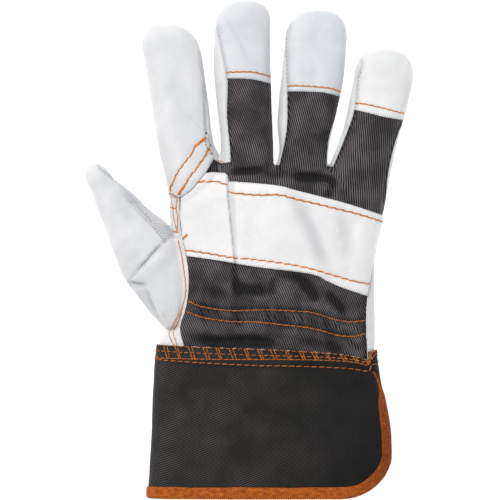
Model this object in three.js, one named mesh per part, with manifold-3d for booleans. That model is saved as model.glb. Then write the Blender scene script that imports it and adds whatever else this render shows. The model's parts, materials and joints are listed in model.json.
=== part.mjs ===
// A right-hand leather palm work glove with a cloth back and a wide safety cuff, lying palm down.
// Millimetres, +Z up, fingers towards +Y, thumb towards -X. Z = 0 is the surface it lies on.
import * as THREE from "three";
import { mergeVertices } from "three/addons/utils/BufferGeometryUtils.js";
import Module from "manifold-3d";

const wasm = await Module();
wasm.setup();

// Material thicknesses and clearances.
const LEATHER = 1.6;
const CLOTH_SINK = 0.4; // the cloth's face lies this far under the leather's
const OVERLAY = 1.2; // thickness of the strap and the patch
const PATCH_RISE = 1.5; // height of the patch's face over the leather's
const CUFF_WALL = 1.8;
const TAPE_WALL = 0.8;
const TAPE_WIDTH = 6.5;
const TAPE_LIP = 1.2; // how far the tape reaches past the edge that it covers
const GAP = 0.3;
const END = 12; // how far a hollow is cut past the end that it opens

// Shape of every cross-section.
const SQUARENESS = 2.5; // 2 is an ellipse, more is boxier
const TIP_SQUARENESS = 2.3;
const MIDDLE_LEVEL = 0.45; // share of the height where a section is widest
const BASE_FLAT = 1.3; // how hard the underside is pressed flat
const TIP_RINGS = [0.45, 0.76, 0.94];

// Heights where the back panels stop, and where the strips between the fingers meet the palm.
const BACK_SEAM = 9;
const PALM_SEAM = 4.5;
const UNDER = -5;
const SKY = 60;

const COLOURS = {
  leather: { color: 0xe3e6e7, roughness: 0.62, metalness: 0 },
  backCloth: { color: 0x3f3a3b, roughness: 0.9, metalness: 0 },
  cuffCloth: { color: 0x2f2a2b, roughness: 0.92, metalness: 0 },
  tape: { color: 0xc65f24, roughness: 0.8, metalness: 0 },
};

const table = (columns, rows) =>
  rows.map((row) => Object.fromEntries(columns.map((column, i) => [column, row[i]])));

// Each limb has its tip, and sections from the tip end down: left and right edge, and top.
const SECTION = ["y", "left", "right", "top", "base"];
const LIMBS = {
  index: {
    tip: [-45, 120.7],
    sections: table(SECTION, [
      [105.5, -57.2, -26.4, 16, 0],
      [80, -52.9, -23.2, 19, 0],
      [57, -49.6, -19.6, 22, 0],
      [38, -46.4, -14.6, 24, 0],
      [16, -41, -10, 20, 2],
    ]),
  },
  middle: {
    tip: [-2.5, 135],
    sections: table(SECTION, [
      [119.5, -19.3, 11, 16, 0],
      [99, -19.7, 10.5, 18.5, 0],
      [77, -17.7, 11.1, 20.5, 0],
      [54, -15.6, 12.2, 23.5, 0],
      [38, -18.5, 13.2, 25, 0],
      [16, -18, 13, 20, 2],
    ]),
  },
  ring: {
    tip: [36.6, 129.8],
    sections: table(SECTION, [
      [113, 18.9, 52.5, 16, 0],
      [92, 16.8, 50.4, 18.5, 0],
      [70, 14.9, 45.6, 21, 0],
      [54, 15.8, 43, 23.5, 0],
      [40, 12.6, 43.6, 25, 0],
      [16, 12, 44, 20, 2],
    ]),
  },
  little: {
    tip: [72.6, 108.7],
    sections: table(SECTION, [
      [92, 56.2, 88.3, 15, 0],
      [78, 53.2, 85.1, 17, 0],
      [62, 48.8, 80.8, 19.5, 0],
      [46, 43, 76.8, 22, 0],
      [28, 40, 73.6, 23.5, 0],
      [10, 38, 69.2, 19, 2],
    ]),
  },
  // The thumb's sections are in its own frame, which starts at place and leans by turn.
  thumb: {
    place: [-59.66, 0],
    turn: 27,
    tip: [-2, 52.4],
    sections: table(SECTION, [
      [41, -8, 6.2, 17, 0],
      [31, -9.2, 10.6, 19, 0],
      [18, -10.6, 14.8, 21, 0],
      [5, -12.4, 20.6, 23, 0],
      [-10, -13.8, 21, 24, 0],
      [-24, -11.8, 18, 23.5, 0],
      [-36, -9.2, 11, 22.5, 0],
      [-45, -6.6, 3, 20, 2],
    ]),
  },
};
const HAND = {
  tip: [14, 42],
  topSides: 22,
  baseSides: 6,
  step: 8.6,
  sections: table(SECTION, [
    [22, -43.8, 72.4, 26.5, 0],
    [15, -42.9, 70.6, 27, 0],
    [-2, -41.2, 67.4, 28, 0],
    [-18, -40.5, 66.2, 28, 0],
    [-34, -42, 66.2, 26, 0],
    [-43.7, -45, 66.2, 24.6, 0],
    [-50, -46.9, 64.8, 23.4, 2.6],
    [-64, -47.4, 64.8, 23.4, 2.6],
  ]),
};
const CUFF = {
  topSides: 11,
  baseSides: 7,
  step: 20,
  sections: table(SECTION, [
    [-46, -49.6, 67.4, 26.2, 0],
    [-58, -51.4, 68.4, 26.6, 0],
    [-76, -52.1, 72.1, 28, 0],
    [-97, -52.7, 75.9, 30, 0],
    [-114, -53.7, 76.2, 31, 0.9],
    [-138, -55.6, 76.2, 31, 1.5],
  ]),
};

// Ridges (rise over 0) and creases (rise under 0) along straight lines on the upper side.
const FOLDS = table(["name", "x1", "y1", "x2", "y2", "width", "rise"], [
  ["pleat ridge", -15.5, 42, -12.5, -8, 4.5, 1.1],
  ["pleat crease", -9.5, 38, -6, -44, 3.2, -1.4],
  ["knuckle crease", 22, 20, 38, -10, 6, -0.9],
  ["little side crease", 46, 22, 58, -16, 6, -0.6],
  ["web ridge", -42, 3, -57, -12, 3.6, 1.3],
  ["web crease", -45.5, 9.5, -64, -9, 3.2, -2],
  ["thumb heel crease", -68, -18.5, -55, -18.6, 2.6, -1.4],
  ["thumb side crease", -55, -21, -46.5, -40, 4, -1.5],
  ["upper elastic", -34, -28, 62, -38, 2.8, -1],
  ["lower elastic", -35, -35.5, 62, -45.5, 2.8, -1],
]);
const GATHERS = { left: -34, right: 62, y: -37, reach: 11, pitch: 19, rise: 0.9 };
const CUFF_WAVES = { pitch: 46, rise: 0.5, from: -60, to: -130 };

// Seams, as the points of smooth curves in plan.
const SEAM = {
  index: [[-24, 113], [-27.2, 105], [-24.8, 91], [-23.2, 64], [-21.4, 50]],
  middle: [[-22, 127], [-18.6, 121], [-16.6, 114], [-12.2, 92], [-12.4, 73], [-10.8, 56], [-10.4, 47.6]],
  ring: [[17, 125], [21.3, 120.5], [19.4, 112], [20.1, 86], [19.7, 65], [15.4, 45]],
  ringOuter: [[51.8, 81], [48.2, 75], [45, 67], [42.8, 57], [41.2, 44]],
  little: [[55, 106], [60.4, 101], [58, 92], [56.6, 76], [51, 60], [44, 43]],
  clothSide: [
    [86, 78], [79.1, 60.6], [74.6, 42], [72.2, 19], [66.5, -7], [63.2, -25], [62.6, -42], [64, -68],
  ],
  clothThumbSide: [
    [-38, 28], [-37.4, 12], [-34.4, -3], [-33, -16], [-34.4, -30], [-37.6, -42], [-35, -54], [-35, -68],
  ],
  thumb: [[-85.5, 52], [-81, 43.5], [-73, 34], [-65, 24.4], [-56, 13.5], [-47.5, 3]],
  thumbRoot: [[-42.9, 13], [-45.4, 4.2], [-56.5, -7.5], [-63, -15.4], [-78, -19.4]],
  patchMiddle: [[-21.6, 55], [-27.8, 48.6], [-33.6, 40.8], [-38.6, 33.8], [-52, 26]],
  patchUpper: [[-22.6, 63], [-29.8, 57.6], [-34.6, 50], [-39.8, 42.6], [-43.2, 36], [-49, 30.5]],
  patchLower: [[-19.4, 49.6], [-24.2, 41.3], [-31.1, 32.7], [-37, 28.6], [-46, 26]],
  strapTop: [[-11.5, 37.2], [13, 35.2], [26, 32], [50.9, 25.6], [72, 18.8]],
  strapFoot: [[63.2, -24.6], [50, -20.2], [41.6, -16.6], [32.3, -12.6], [2.9, -8.8], [-17, -5.4], [-34.1, -3]],
  cuffTop: [[80, -52.5], [66, -56.6], [60, -57.8], [41.6, -54.7], [5.3, -53.2], [-41, -51.9], [-60, -50.4]],
};
const STRAP_LEFT = [[-36.6, 7.6], [-37.7, 19], [-37.3, 28.4], [-31.1, 33], [-24.3, 41.6]];
const STRAP_PLEAT = [[-20, 42.2], [-13.6, 41.8], [-11.8, 40.2]];
const WELT = [[-38.3, 29], [-38.3, 8.6], [-41.4, 9.8], [-42.9, 13], [-56, 16], [-56, 32]];
const CLOTH_CORNER = [[-15.6, 47], [-20.6, 49.6]]; // the small triangle beside the first crotch
const CAP_EDGE = {
  middle: [[-12.2, 92.6], [-1.3, 92.4], [4.4, 91.6], [14, 89.4]],
  ring: [[20.1, 85.8], [31.6, 85.5], [40.7, 84.9], [54, 81.6]],
  little: [[56.6, 75.8], [65.1, 73.8], [74.2, 71.6], [94, 68.8]],
};
const CAP_CORNER = { middle: [-12.2, 92.6], ring: [20.1, 85.8], little: [56.6, 75.8] };
const CURVE_STEPS = 6;

// The cuff's opening at the little-finger side, as a wedge seen from the side, and its round corner.
const SLIT = { y: -66, height: 13.5, footWidth: 9, inner: 52, outer: 90 };
const CUFF_FOOT = -135;
const CUFF_CORNER = { x: 50, y: -106, width: 28, depth: 29, steps: 6 };

// Closed geometry with its shared points merged becomes a solid, and back.
function toSolid(geometry) {
  const bare = geometry.clone();
  bare.deleteAttribute("normal");
  bare.deleteAttribute("uv");
  const merged = mergeVertices(bare, 1e-4);
  return new wasm.Manifold(
    new wasm.Mesh({
      numProp: 3,
      vertProperties: new Float32Array(merged.attributes.position.array),
      triVerts: new Uint32Array(merged.index.array),
    }),
  );
}

function toGeometry(solid) {
  const mesh = solid.getMesh();
  const points = new Float32Array(mesh.vertProperties);
  const geometry = new THREE.BufferGeometry();
  geometry.setAttribute("position", new THREE.BufferAttribute(points, 3));
  geometry.setIndex(new THREE.BufferAttribute(new Uint32Array(mesh.triVerts), 1));
  return geometry;
}

const largest = (solid) =>
  solid.decompose().reduce((best, body) => (body.volume() > best.volume() ? body : best));

const joined = (solids) => solids.reduce((whole, solid) => whole.add(solid));

// One column of a section table at any y, on a smooth curve through its rows.
function columnAt(rows, column, y) {
  let i = 0;
  while (i < rows.length - 2 && rows[i + 1].y > y) i += 1;
  const slope = (k) => {
    const a = rows[Math.max(k - 1, 0)];
    const b = rows[Math.min(k + 1, rows.length - 1)];
    return (b[column] - a[column]) / (b.y - a.y);
  };
  const span = rows[i + 1].y - rows[i].y;
  const t = (y - rows[i].y) / span;
  const start = (1 + 2 * t) * (1 - t) ** 2 * rows[i][column] + t * (1 - t) ** 2 * span * slope(i);
  const end = t * t * (3 - 2 * t) * rows[i + 1][column] - t * t * (1 - t) * span * slope(i + 1);
  return start + end;
}

const sectionAt = (rows, y) => ({
  y,
  left: columnAt(rows, "left", y),
  right: columnAt(rows, "right", y),
  top: columnAt(rows, "top", y),
  base: Math.max(columnAt(rows, "base", y), 0),
});

// Height that the folds and the wrist's gathers add to the upper side at a plan point.
function handRelief(x, y) {
  let rise = 0;
  for (const fold of FOLDS) {
    const along = new THREE.Vector2(fold.x2 - fold.x1, fold.y2 - fold.y1);
    const from = new THREE.Vector2(x - fold.x1, y - fold.y1);
    const share = THREE.MathUtils.clamp(from.dot(along) / along.lengthSq(), 0, 1);
    const distance = from.sub(along.multiplyScalar(share)).length();
    rise += fold.rise * Math.exp(-((distance / fold.width) ** 2));
  }
  const { left, right, reach, pitch } = GATHERS;
  const near = THREE.MathUtils.smoothstep(x, left, left + pitch)
    * (1 - THREE.MathUtils.smoothstep(x, right - pitch, right));
  const fade = Math.exp(-(((y - GATHERS.y) / reach) ** 4));
  return rise + GATHERS.rise * near * fade * Math.cos((2 * Math.PI * x) / pitch);
}

const cuffRelief = (x, y) =>
  CUFF_WAVES.rise
  * (1 - THREE.MathUtils.smoothstep(y, CUFF_WAVES.to, CUFF_WAVES.from))
  * Math.cos((2 * Math.PI * x) / CUFF_WAVES.pitch);

// Points round one section, drawn in by share towards its middle for a rounded tip.
function ring(section, share, angles, relief) {
  const middle = section.base + MIDDLE_LEVEL * (section.top - section.base);
  const halfWidth = (share * (section.right - section.left)) / 2;
  const centre = (section.left + section.right) / 2;
  const bend = (value) => Math.sign(value) * Math.abs(value) ** (2 / SQUARENESS);
  return angles.map((angle) => {
    const x = centre + halfWidth * bend(Math.cos(angle));
    const up = bend(Math.sin(angle));
    if (up > 0) {
      const rise = share * up * (section.top - middle + relief(x, section.y));
      return new THREE.Vector3(x, section.y, middle + rise);
    }
    const z = middle + share * BASE_FLAT * up * (middle - section.base);
    return new THREE.Vector3(x, section.y, Math.max(section.base, z));
  });
}

// A closed skin through rings of equal length, with a fan at each end.
function skin(rings, firstPoint, lastPoint) {
  const count = rings[0].length;
  const points = [firstPoint, ...rings.flat(), lastPoint];
  const at = (r, i) => 1 + r * count + (i % count);
  const foot = rings.length - 1;
  const triangles = [];
  for (let i = 0; i < count; i += 1) {
    triangles.push(0, at(0, i + 1), at(0, i));
    for (let r = 0; r < foot; r += 1) {
      triangles.push(at(r, i), at(r, i + 1), at(r + 1, i));
      triangles.push(at(r, i + 1), at(r + 1, i + 1), at(r + 1, i));
    }
    triangles.push(at(foot, i), at(foot, i + 1), points.length - 1);
  }
  const geometry = new THREE.BufferGeometry().setFromPoints(points);
  geometry.setIndex(triangles);
  geometry.computeVertexNormals();
  return geometry;
}

const meanOf = (points) =>
  points.reduce((sum, point) => sum.add(point), new THREE.Vector3()).divideScalar(points.length);

// Moves every point along its normal by offset. Points at a flat end keep to the end's plane,
// which moves out by reach.
function offsetSkin(geometry, offset, reach, flatTop, flatFoot) {
  const { position, normal } = geometry.attributes;
  for (let i = 0; i < position.count; i += 1) {
    const [nx, ny, nz] = [normal.getX(i), normal.getY(i), normal.getZ(i)];
    const y = position.getY(i);
    const end = Math.sign((y > flatTop - 1e-3) - (y < flatFoot + 1e-3));
    const scale = end ? 1 / (Math.hypot(nx, nz) || 1) : 1;
    position.setXYZ(
      i,
      position.getX(i) + offset * nx * scale,
      y + (end ? end * reach : offset * ny),
      position.getZ(i) + offset * nz * scale,
    );
  }
  return geometry;
}

// A limb or the cuff as a solid, grown by offset.
function limb(spec, offset, reach = 0) {
  const { tip, sections, topSides = 7, baseSides = 5, step = 18, place = [0, 0], turn = 0 } = spec;
  const { relief = handRelief } = spec;
  const lean = new THREE.Matrix4().makeRotationZ(THREE.MathUtils.degToRad(turn));
  lean.setPosition(place[0], place[1], 0);
  const rise = (x, y) => {
    const point = new THREE.Vector3(x, y, 0).applyMatrix4(lean);
    return relief(point.x, point.y);
  };
  const angles = [];
  for (let i = 0; i < topSides; i += 1) angles.push((Math.PI * i) / topSides);
  for (let i = 0; i < baseSides; i += 1) angles.push(Math.PI * (1 + i / baseSides));
  const first = sections[0];
  const foot = sections[sections.length - 1].y;
  const rings = [];
  if (tip) {
    const centre = (first.left + first.right) / 2;
    for (const t of [...TIP_RINGS].reverse()) {
      const share = (1 - t ** TIP_SQUARENESS) ** (1 / TIP_SQUARENESS);
      const shift = (tip[0] - centre) * t;
      const moved = { ...first, y: first.y + t * (tip[1] - first.y) };
      moved.left += shift;
      moved.right += shift;
      rings.push(ring(moved, share, angles, rise));
    }
  }
  const count = Math.round((first.y - foot) / step);
  for (let i = 0; i <= count; i += 1) {
    const section = sectionAt(sections, first.y + ((foot - first.y) * i) / count);
    rings.push(ring(section, 1, angles, rise));
  }
  const start = meanOf(rings[0]);
  if (tip) start.set(tip[0], tip[1], start.z);
  const geometry = skin(rings, start, meanOf(rings[rings.length - 1]));
  offsetSkin(geometry, offset, reach, tip ? Infinity : first.y, foot);
  return toSolid(geometry.applyMatrix4(lean));
}

// The hand with its fingers and thumb, grown by offset, its wrist end moved out by reach.
const form = (offset, reach = 0) =>
  joined([limb(HAND, offset, reach), ...Object.values(LIMBS).map((spec) => limb(spec, offset))]);

const cuffTube = (offset, reach = 0) => limb({ ...CUFF, relief: cuffRelief }, offset, reach);

// Plan outlines.
const plan = (points) => points.map(([x, y]) => new THREE.Vector2(x, y));
const smooth = (points) => new THREE.SplineCurve(plan(points)).getPoints(CURVE_STEPS);

// An outline's own corners, each moved outwards by the given distance.
function grown(outline, distance) {
  const turn = THREE.ShapeUtils.isClockWise(outline) ? -1 : 1;
  return outline.map((point, i) => {
    const before = outline[(i + outline.length - 1) % outline.length];
    const after = outline[(i + 1) % outline.length];
    const a = point.clone().sub(before).normalize();
    const b = after.clone().sub(point).normalize();
    const normal = new THREE.Vector2(a.y + b.y, -a.x - b.x).multiplyScalar(turn).normalize();
    const spread = Math.max(Math.abs(normal.dot(new THREE.Vector2(a.y, -a.x))), 0.4);
    return point.clone().addScaledVector(normal, distance / spread);
  });
}

function prism(outline, low = UNDER, high = SKY) {
  const settings = { depth: high - low, bevelEnabled: false };
  return toSolid(new THREE.ExtrudeGeometry(new THREE.Shape(outline), settings).translate(0, 0, low));
}

// A prism along X whose outline is read as (y, z).
function sidePrism(outline, from, to) {
  const settings = { depth: to - from, bevelEnabled: false };
  const turned = new THREE.Matrix4().set(0, 0, 1, from, 1, 0, 0, 0, 0, 1, 0, 0, 0, 0, 0, 1);
  return toSolid(new THREE.ExtrudeGeometry(new THREE.Shape(outline), settings).applyMatrix4(turned));
}

const FAR = { left: -110, right: 110, top: 150 };
const CURVES = Object.fromEntries(Object.entries(SEAM).map(([name, points]) => [name, smooth(points)]));
const between = (curve, low, high) => curve.filter((point) => point.y >= low && point.y <= high);
const back = (curve) => [...curve].reverse();

const capCurve = Object.fromEntries(
  Object.entries(CAP_EDGE).map(([name, points]) => [name, smooth(points)]),
);
// A finger's cap edge from the point where it leaves the seam on the finger's left.
const capPart = (name) => [
  ...plan([CAP_CORNER[name]]),
  ...capCurve[name].filter((point) => point.x > CAP_CORNER[name][0] + 1),
];

function tipOutline(name, right) {
  const seam = CURVES[name];
  const top = [[right, FAR.top], [seam[0].x, FAR.top]];
  return [...between(seam, CAP_CORNER[name][1] + 1, FAR.top), ...capPart(name), ...plan(top)];
}

const clothFinger = (name, right) => [
  ...back(capPart(name)),
  ...between(CURVES[name], 0, CAP_CORNER[name][1] - 1),
  ...right,
];

// Panels in cutting order: name, material, plan outlines, and the height they reach down to.
const PANELS = [
  {
    name: "index_back",
    low: BACK_SEAM,
    outlines: [[
      ...plan([[FAR.left / 2 - 9, FAR.top], [-22, FAR.top]]),
      ...CURVES.index.filter((point) => point.y > 56),
      ...CURVES.patchMiddle,
      ...plan([[-64, 26]]),
    ]],
  },
  { name: "tip_middle", low: BACK_SEAM, outlines: [tipOutline("middle", 14.4)] },
  { name: "tip_ring", low: BACK_SEAM, outlines: [tipOutline("ring", 54)] },
  { name: "tip_little", low: BACK_SEAM, outlines: [tipOutline("little", 94)] },
  {
    name: "back_cloth",
    low: BACK_SEAM,
    cloth: true,
    outlines: [
      clothFinger("middle", plan([[13, 30], [13.2, 44], [12.6, 56], [14, 72]])),
      clothFinger("ring", [...plan([[41.2, 30]]), ...back(CURVES.ringOuter)]),
      clothFinger("little", [...plan([[44, 30], [72, 30]]), ...back(between(CURVES.clothSide, 31, 68))]),
      [
        ...between(CURVES.middle, 40, 50),
        ...plan(CLOTH_CORNER),
        ...CURVES.patchMiddle.slice(3, -3),
        ...CURVES.clothThumbSide,
        ...back(between(CURVES.clothSide, -70, 43)),
        ...plan([[44, 45.4], [13, 46.2], [12.8, 42]]),
      ],
    ],
  },
  {
    name: "side_welt",
    low: BACK_SEAM,
    outlines: [plan(WELT)],
  },
  {
    name: "thumb_back",
    low: UNDER,
    outlines: [[
      ...CURVES.thumb,
      ...CURVES.thumbRoot.filter((point) => point.y < 2),
      ...plan([[-100, -19.4], [-100, 56], [-86, 56]]),
    ]],
  },
  {
    name: "thumb_front",
    low: UNDER,
    outlines: [[
      ...CURVES.thumb,
      ...back(CURVES.thumbRoot.filter((point) => point.y > 4.4)),
      ...plan([[-47.4, 20], [-57, 40], [-76, 56]]),
    ]],
  },
  {
    name: "fourchette_index_middle",
    low: PALM_SEAM,
    outlines: [[
      ...CURVES.index,
      ...plan([[-18.4, 47.6], [-14, 46.4]]),
      ...back(CURVES.middle),
    ]],
  },
  {
    name: "fourchette_middle_ring",
    low: PALM_SEAM,
    outlines: [[...plan([[6.5, 116], [8, 60], [9, 44], [12, 39.6]]), ...back(CURVES.ring)]],
  },
  {
    name: "fourchette_ring_little",
    low: PALM_SEAM,
    outlines: [[
      ...plan([[47.5, 112], [44, 84], [39, 60], [38.4, 46], [42.6, 41]]),
      ...back(CURVES.little),
    ]],
  },
];

const hollow = form(-LEATHER, END);
const leatherShell = form(0).subtract(hollow);
const clothShell = form(-CLOTH_SINK).subtract(hollow);

const solids = {};
let taken = null;
for (const panel of PANELS) {
  const volume = joined(panel.outlines.map((outline) => prism(outline, panel.low)));
  const shell = panel.cloth ? clothShell : leatherShell;
  const cut = shell.intersect(volume);
  solids[panel.name] = largest(taken ? cut.subtract(taken) : cut);
  const room = joined(panel.outlines.map((outline) => prism(grown(outline, GAP), panel.low - GAP)));
  taken = taken ? taken.add(room) : room;
}
solids.palm_leather = largest(leatherShell.subtract(taken));

// The strap and the patch lie on top of the panels.
const strapOutline = [
  ...plan(STRAP_LEFT),
  ...plan(STRAP_PLEAT),
  ...CURVES.strapTop,
  ...plan([[69, 4.8], [66.5, -6.8]]),
  ...CURVES.strapFoot,
];
const patchOutline = [...CURVES.patchUpper, ...back(CURVES.patchLower)];
solids.knuckle_strap = largest(
  form(GAP - CLOTH_SINK + OVERLAY)
    .subtract(form(GAP - CLOTH_SINK))
    .intersect(prism(strapOutline, BACK_SEAM)),
);
solids.index_patch = largest(
  form(PATCH_RISE)
    .subtract(form(GAP))
    .intersect(prism(patchOutline, BACK_SEAM + 1))
    .subtract(prism(grown(strapOutline, GAP), UNDER)),
);

// What is left of the cuff's tube when its foot, round corner and side opening are cut, inset from
// every free edge.
function cuffRoom(inset) {
  const { x, y, width, depth, steps } = CUFF_CORNER;
  const round = [];
  for (let i = 0; i <= steps; i += 1) {
    const angle = (Math.PI / 2) * (i / steps);
    round.push([x + (width - inset) * Math.cos(angle), y - (depth - inset) * Math.sin(angle)]);
  }
  const left = [[FAR.left, 0], [FAR.left, CUFF_FOOT + inset]];
  const outline = plan([...left, ...back(round), [SLIT.outer, y], [SLIT.outer, 0]]);
  const half = SLIT.footWidth / 2 + inset;
  const wedge = plan([
    [SLIT.y + inset, SLIT.height - inset],
    [SLIT.y + inset, SLIT.height + inset],
    [CUFF_FOOT - END, SLIT.height + half],
    [CUFF_FOOT - END, SLIT.height - half],
  ]);
  return prism(outline).subtract(sidePrism(wedge, SLIT.inner, SLIT.outer));
}

const cuffSheet = (rise, inset) =>
  cuffTube(rise).subtract(cuffTube(-CUFF_WALL - rise, END)).intersect(cuffRoom(inset));
const belowCuffTop = prism([
  ...CURVES.cuffTop,
  ...plan([[FAR.left, -50], [FAR.left, CUFF_FOOT - END], [FAR.right, CUFF_FOOT - END]]),
]);
solids.cuff = largest(cuffSheet(0, TAPE_LIP).intersect(belowCuffTop));
solids.cuff_binding = largest(
  cuffSheet(GAP + TAPE_WALL, 0)
    .subtract(cuffRoom(TAPE_WIDTH))
    .subtract(cuffSheet(GAP, TAPE_LIP - GAP)),
);

const MATERIAL_OF = { back_cloth: "backCloth", cuff: "cuffCloth", cuff_binding: "tape" };
const glove = new THREE.Group();
for (const [name, solid] of Object.entries(solids)) {
  const finish = COLOURS[MATERIAL_OF[name] ?? "leather"];
  const piece = new THREE.Mesh(toGeometry(solid), new THREE.MeshStandardMaterial(finish));
  piece.name = name;
  glove.add(piece);
}
export default glove;
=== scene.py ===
import json
import math
from collections import Counter
from contextlib import contextmanager
from functools import reduce

import bmesh
import bpy
import numpy as np
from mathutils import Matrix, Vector, noise
from mathutils.bvhtree import BVHTree
from mathutils.kdtree import KDTree

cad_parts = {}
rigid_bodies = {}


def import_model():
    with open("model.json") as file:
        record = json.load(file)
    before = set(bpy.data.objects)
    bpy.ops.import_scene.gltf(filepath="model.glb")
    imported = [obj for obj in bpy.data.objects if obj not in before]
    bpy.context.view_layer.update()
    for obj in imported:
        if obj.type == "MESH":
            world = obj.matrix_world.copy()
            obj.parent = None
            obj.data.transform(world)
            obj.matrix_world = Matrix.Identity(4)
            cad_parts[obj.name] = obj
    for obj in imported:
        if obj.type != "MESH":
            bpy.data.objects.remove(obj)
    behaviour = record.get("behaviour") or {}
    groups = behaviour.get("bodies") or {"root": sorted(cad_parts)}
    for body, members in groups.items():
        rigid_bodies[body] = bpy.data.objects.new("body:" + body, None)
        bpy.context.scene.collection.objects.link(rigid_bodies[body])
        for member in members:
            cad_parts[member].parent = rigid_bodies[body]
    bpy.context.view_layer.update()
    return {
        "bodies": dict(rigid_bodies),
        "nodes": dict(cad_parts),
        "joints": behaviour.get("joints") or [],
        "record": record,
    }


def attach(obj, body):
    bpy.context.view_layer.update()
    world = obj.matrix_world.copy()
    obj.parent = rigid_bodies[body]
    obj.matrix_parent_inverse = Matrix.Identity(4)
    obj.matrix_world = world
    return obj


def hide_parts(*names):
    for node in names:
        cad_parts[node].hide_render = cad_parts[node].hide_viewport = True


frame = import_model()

# The glove is drawn in millimetres, palm down, fingers towards +Y and thumb towards -X.
MM = 0.001
FINE = 0.64  # mesh size of the back panels
COARSE = 0.95  # mesh size of the palm

# Thicknesses and levels.
LEATHER = 1.6
CLOTH = 1.0
CLOTH_SINK = 0.7
OVERLAY = 1.2
PATCH_RISE = 1.5
GAP_OVER = 0.3
CUFF_WALL = 1.8
BACK_SEAM = 9.0
PALM_SEAM = 4.5
UNDER = -5.0
SKY = 60.0

# Shape of every cross-section.
SQUARENESS = 2.5
TIP_SQUARENESS = 2.6
MIDDLE_LEVEL = 0.45
BASE_FLAT = 1.3


def table(columns, rows):
    return [dict(zip(columns, row)) for row in rows]


SECTION = ["y", "left", "right", "top", "base"]
LIMBS = {
    "index": dict(tip=(-45.4, 122.2), sections=table(SECTION, [
        (105.5, -57.5, -25.9, 16, 0),
        (80, -53.6, -22.6, 19, 0),
        (58, -50.2, -19.8, 22, 0),
        (50, -48.6, -16.4, 22.8, 0),
        (38, -45.4, -14.6, 24, 0),
        (16, -41, -10, 20, 2),
    ])),
    "middle": dict(tip=(-2.5, 135), sections=table(SECTION, [
        (119.5, -19.3, 11, 16, 0),
        (99, -19.7, 11.1, 18.5, 0),
        (77, -17.7, 11.7, 20.5, 0),
        (54, -15.6, 12.6, 23.5, 0),
        (38, -18.5, 13.2, 25, 0),
        (16, -18, 13, 20, 2),
    ])),
    "ring": dict(tip=(36.6, 129.8), sections=table(SECTION, [
        (113, 18.9, 52.5, 16, 0),
        (92, 16.8, 50.4, 18.5, 0),
        (70, 14.9, 45.6, 21, 0),
        (54, 15.8, 42.2, 23.5, 0),
        (40, 12.6, 42, 25, 0),
        (16, 12, 44, 20, 2),
    ])),
    "little": dict(tip=(73, 108.9), sections=table(SECTION, [
        (92, 56.2, 88.3, 15, 0),
        (78, 53.2, 85.1, 17, 0),
        (62, 49.3, 80.6, 19.5, 0),
        (46, 43.2, 76.8, 22, 0),
        (28, 39.4, 73.6, 23.5, 0),
        (10, 38, 69.2, 19, 2),
    ])),
    "thumb": dict(place=(-59.66, 0), turn=27, tip=(-2.9, 53.3), sections=table(SECTION, [
        (41, -8.5, 5.4, 17, 0),
        (31, -10, 10.2, 19, 0),
        (18, -11.5, 14.6, 21, 0),
        (5, -13.2, 20.6, 23, 0),
        (-10, -14.4, 21, 24, 0),
        (-24, -11.8, 18, 23.5, 0),
        (-36, -9.2, 11, 22.5, 0),
        (-45, -6.6, 3, 20, 2),
    ])),
    "hand": dict(tip=(14, 46), sections=table(SECTION, [
        (22, -43.8, 72.4, 26.5, 0),
        (15, -42.9, 70.6, 27, 0),
        (-2, -41.2, 67.4, 28, 0),
        (-18, -40.5, 67.3, 28, 0),
        (-34, -42, 67.5, 26, 0),
        (-43.7, -45, 67.5, 24.6, 0),
        (-50, -48.9, 67.3, 23.4, 2.6),
        (-58, -48.6, 66.2, 23.4, 2.6),
        (-70, -47.4, 65, 23.4, 2.6),
    ])),
}
CUFF = dict(sections=table(SECTION, [
    (-46, -49.6, 68.2, 26.2, 0),
    (-58, -51.4, 68.8, 26.6, 0),
    (-76, -52.1, 72.1, 28, 0),
    (-97, -52.7, 75.9, 30, 0),
    (-114, -53.7, 76.2, 31, 0.9),
    (-142, -55.6, 76.2, 31, 1.5),
]))

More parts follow.
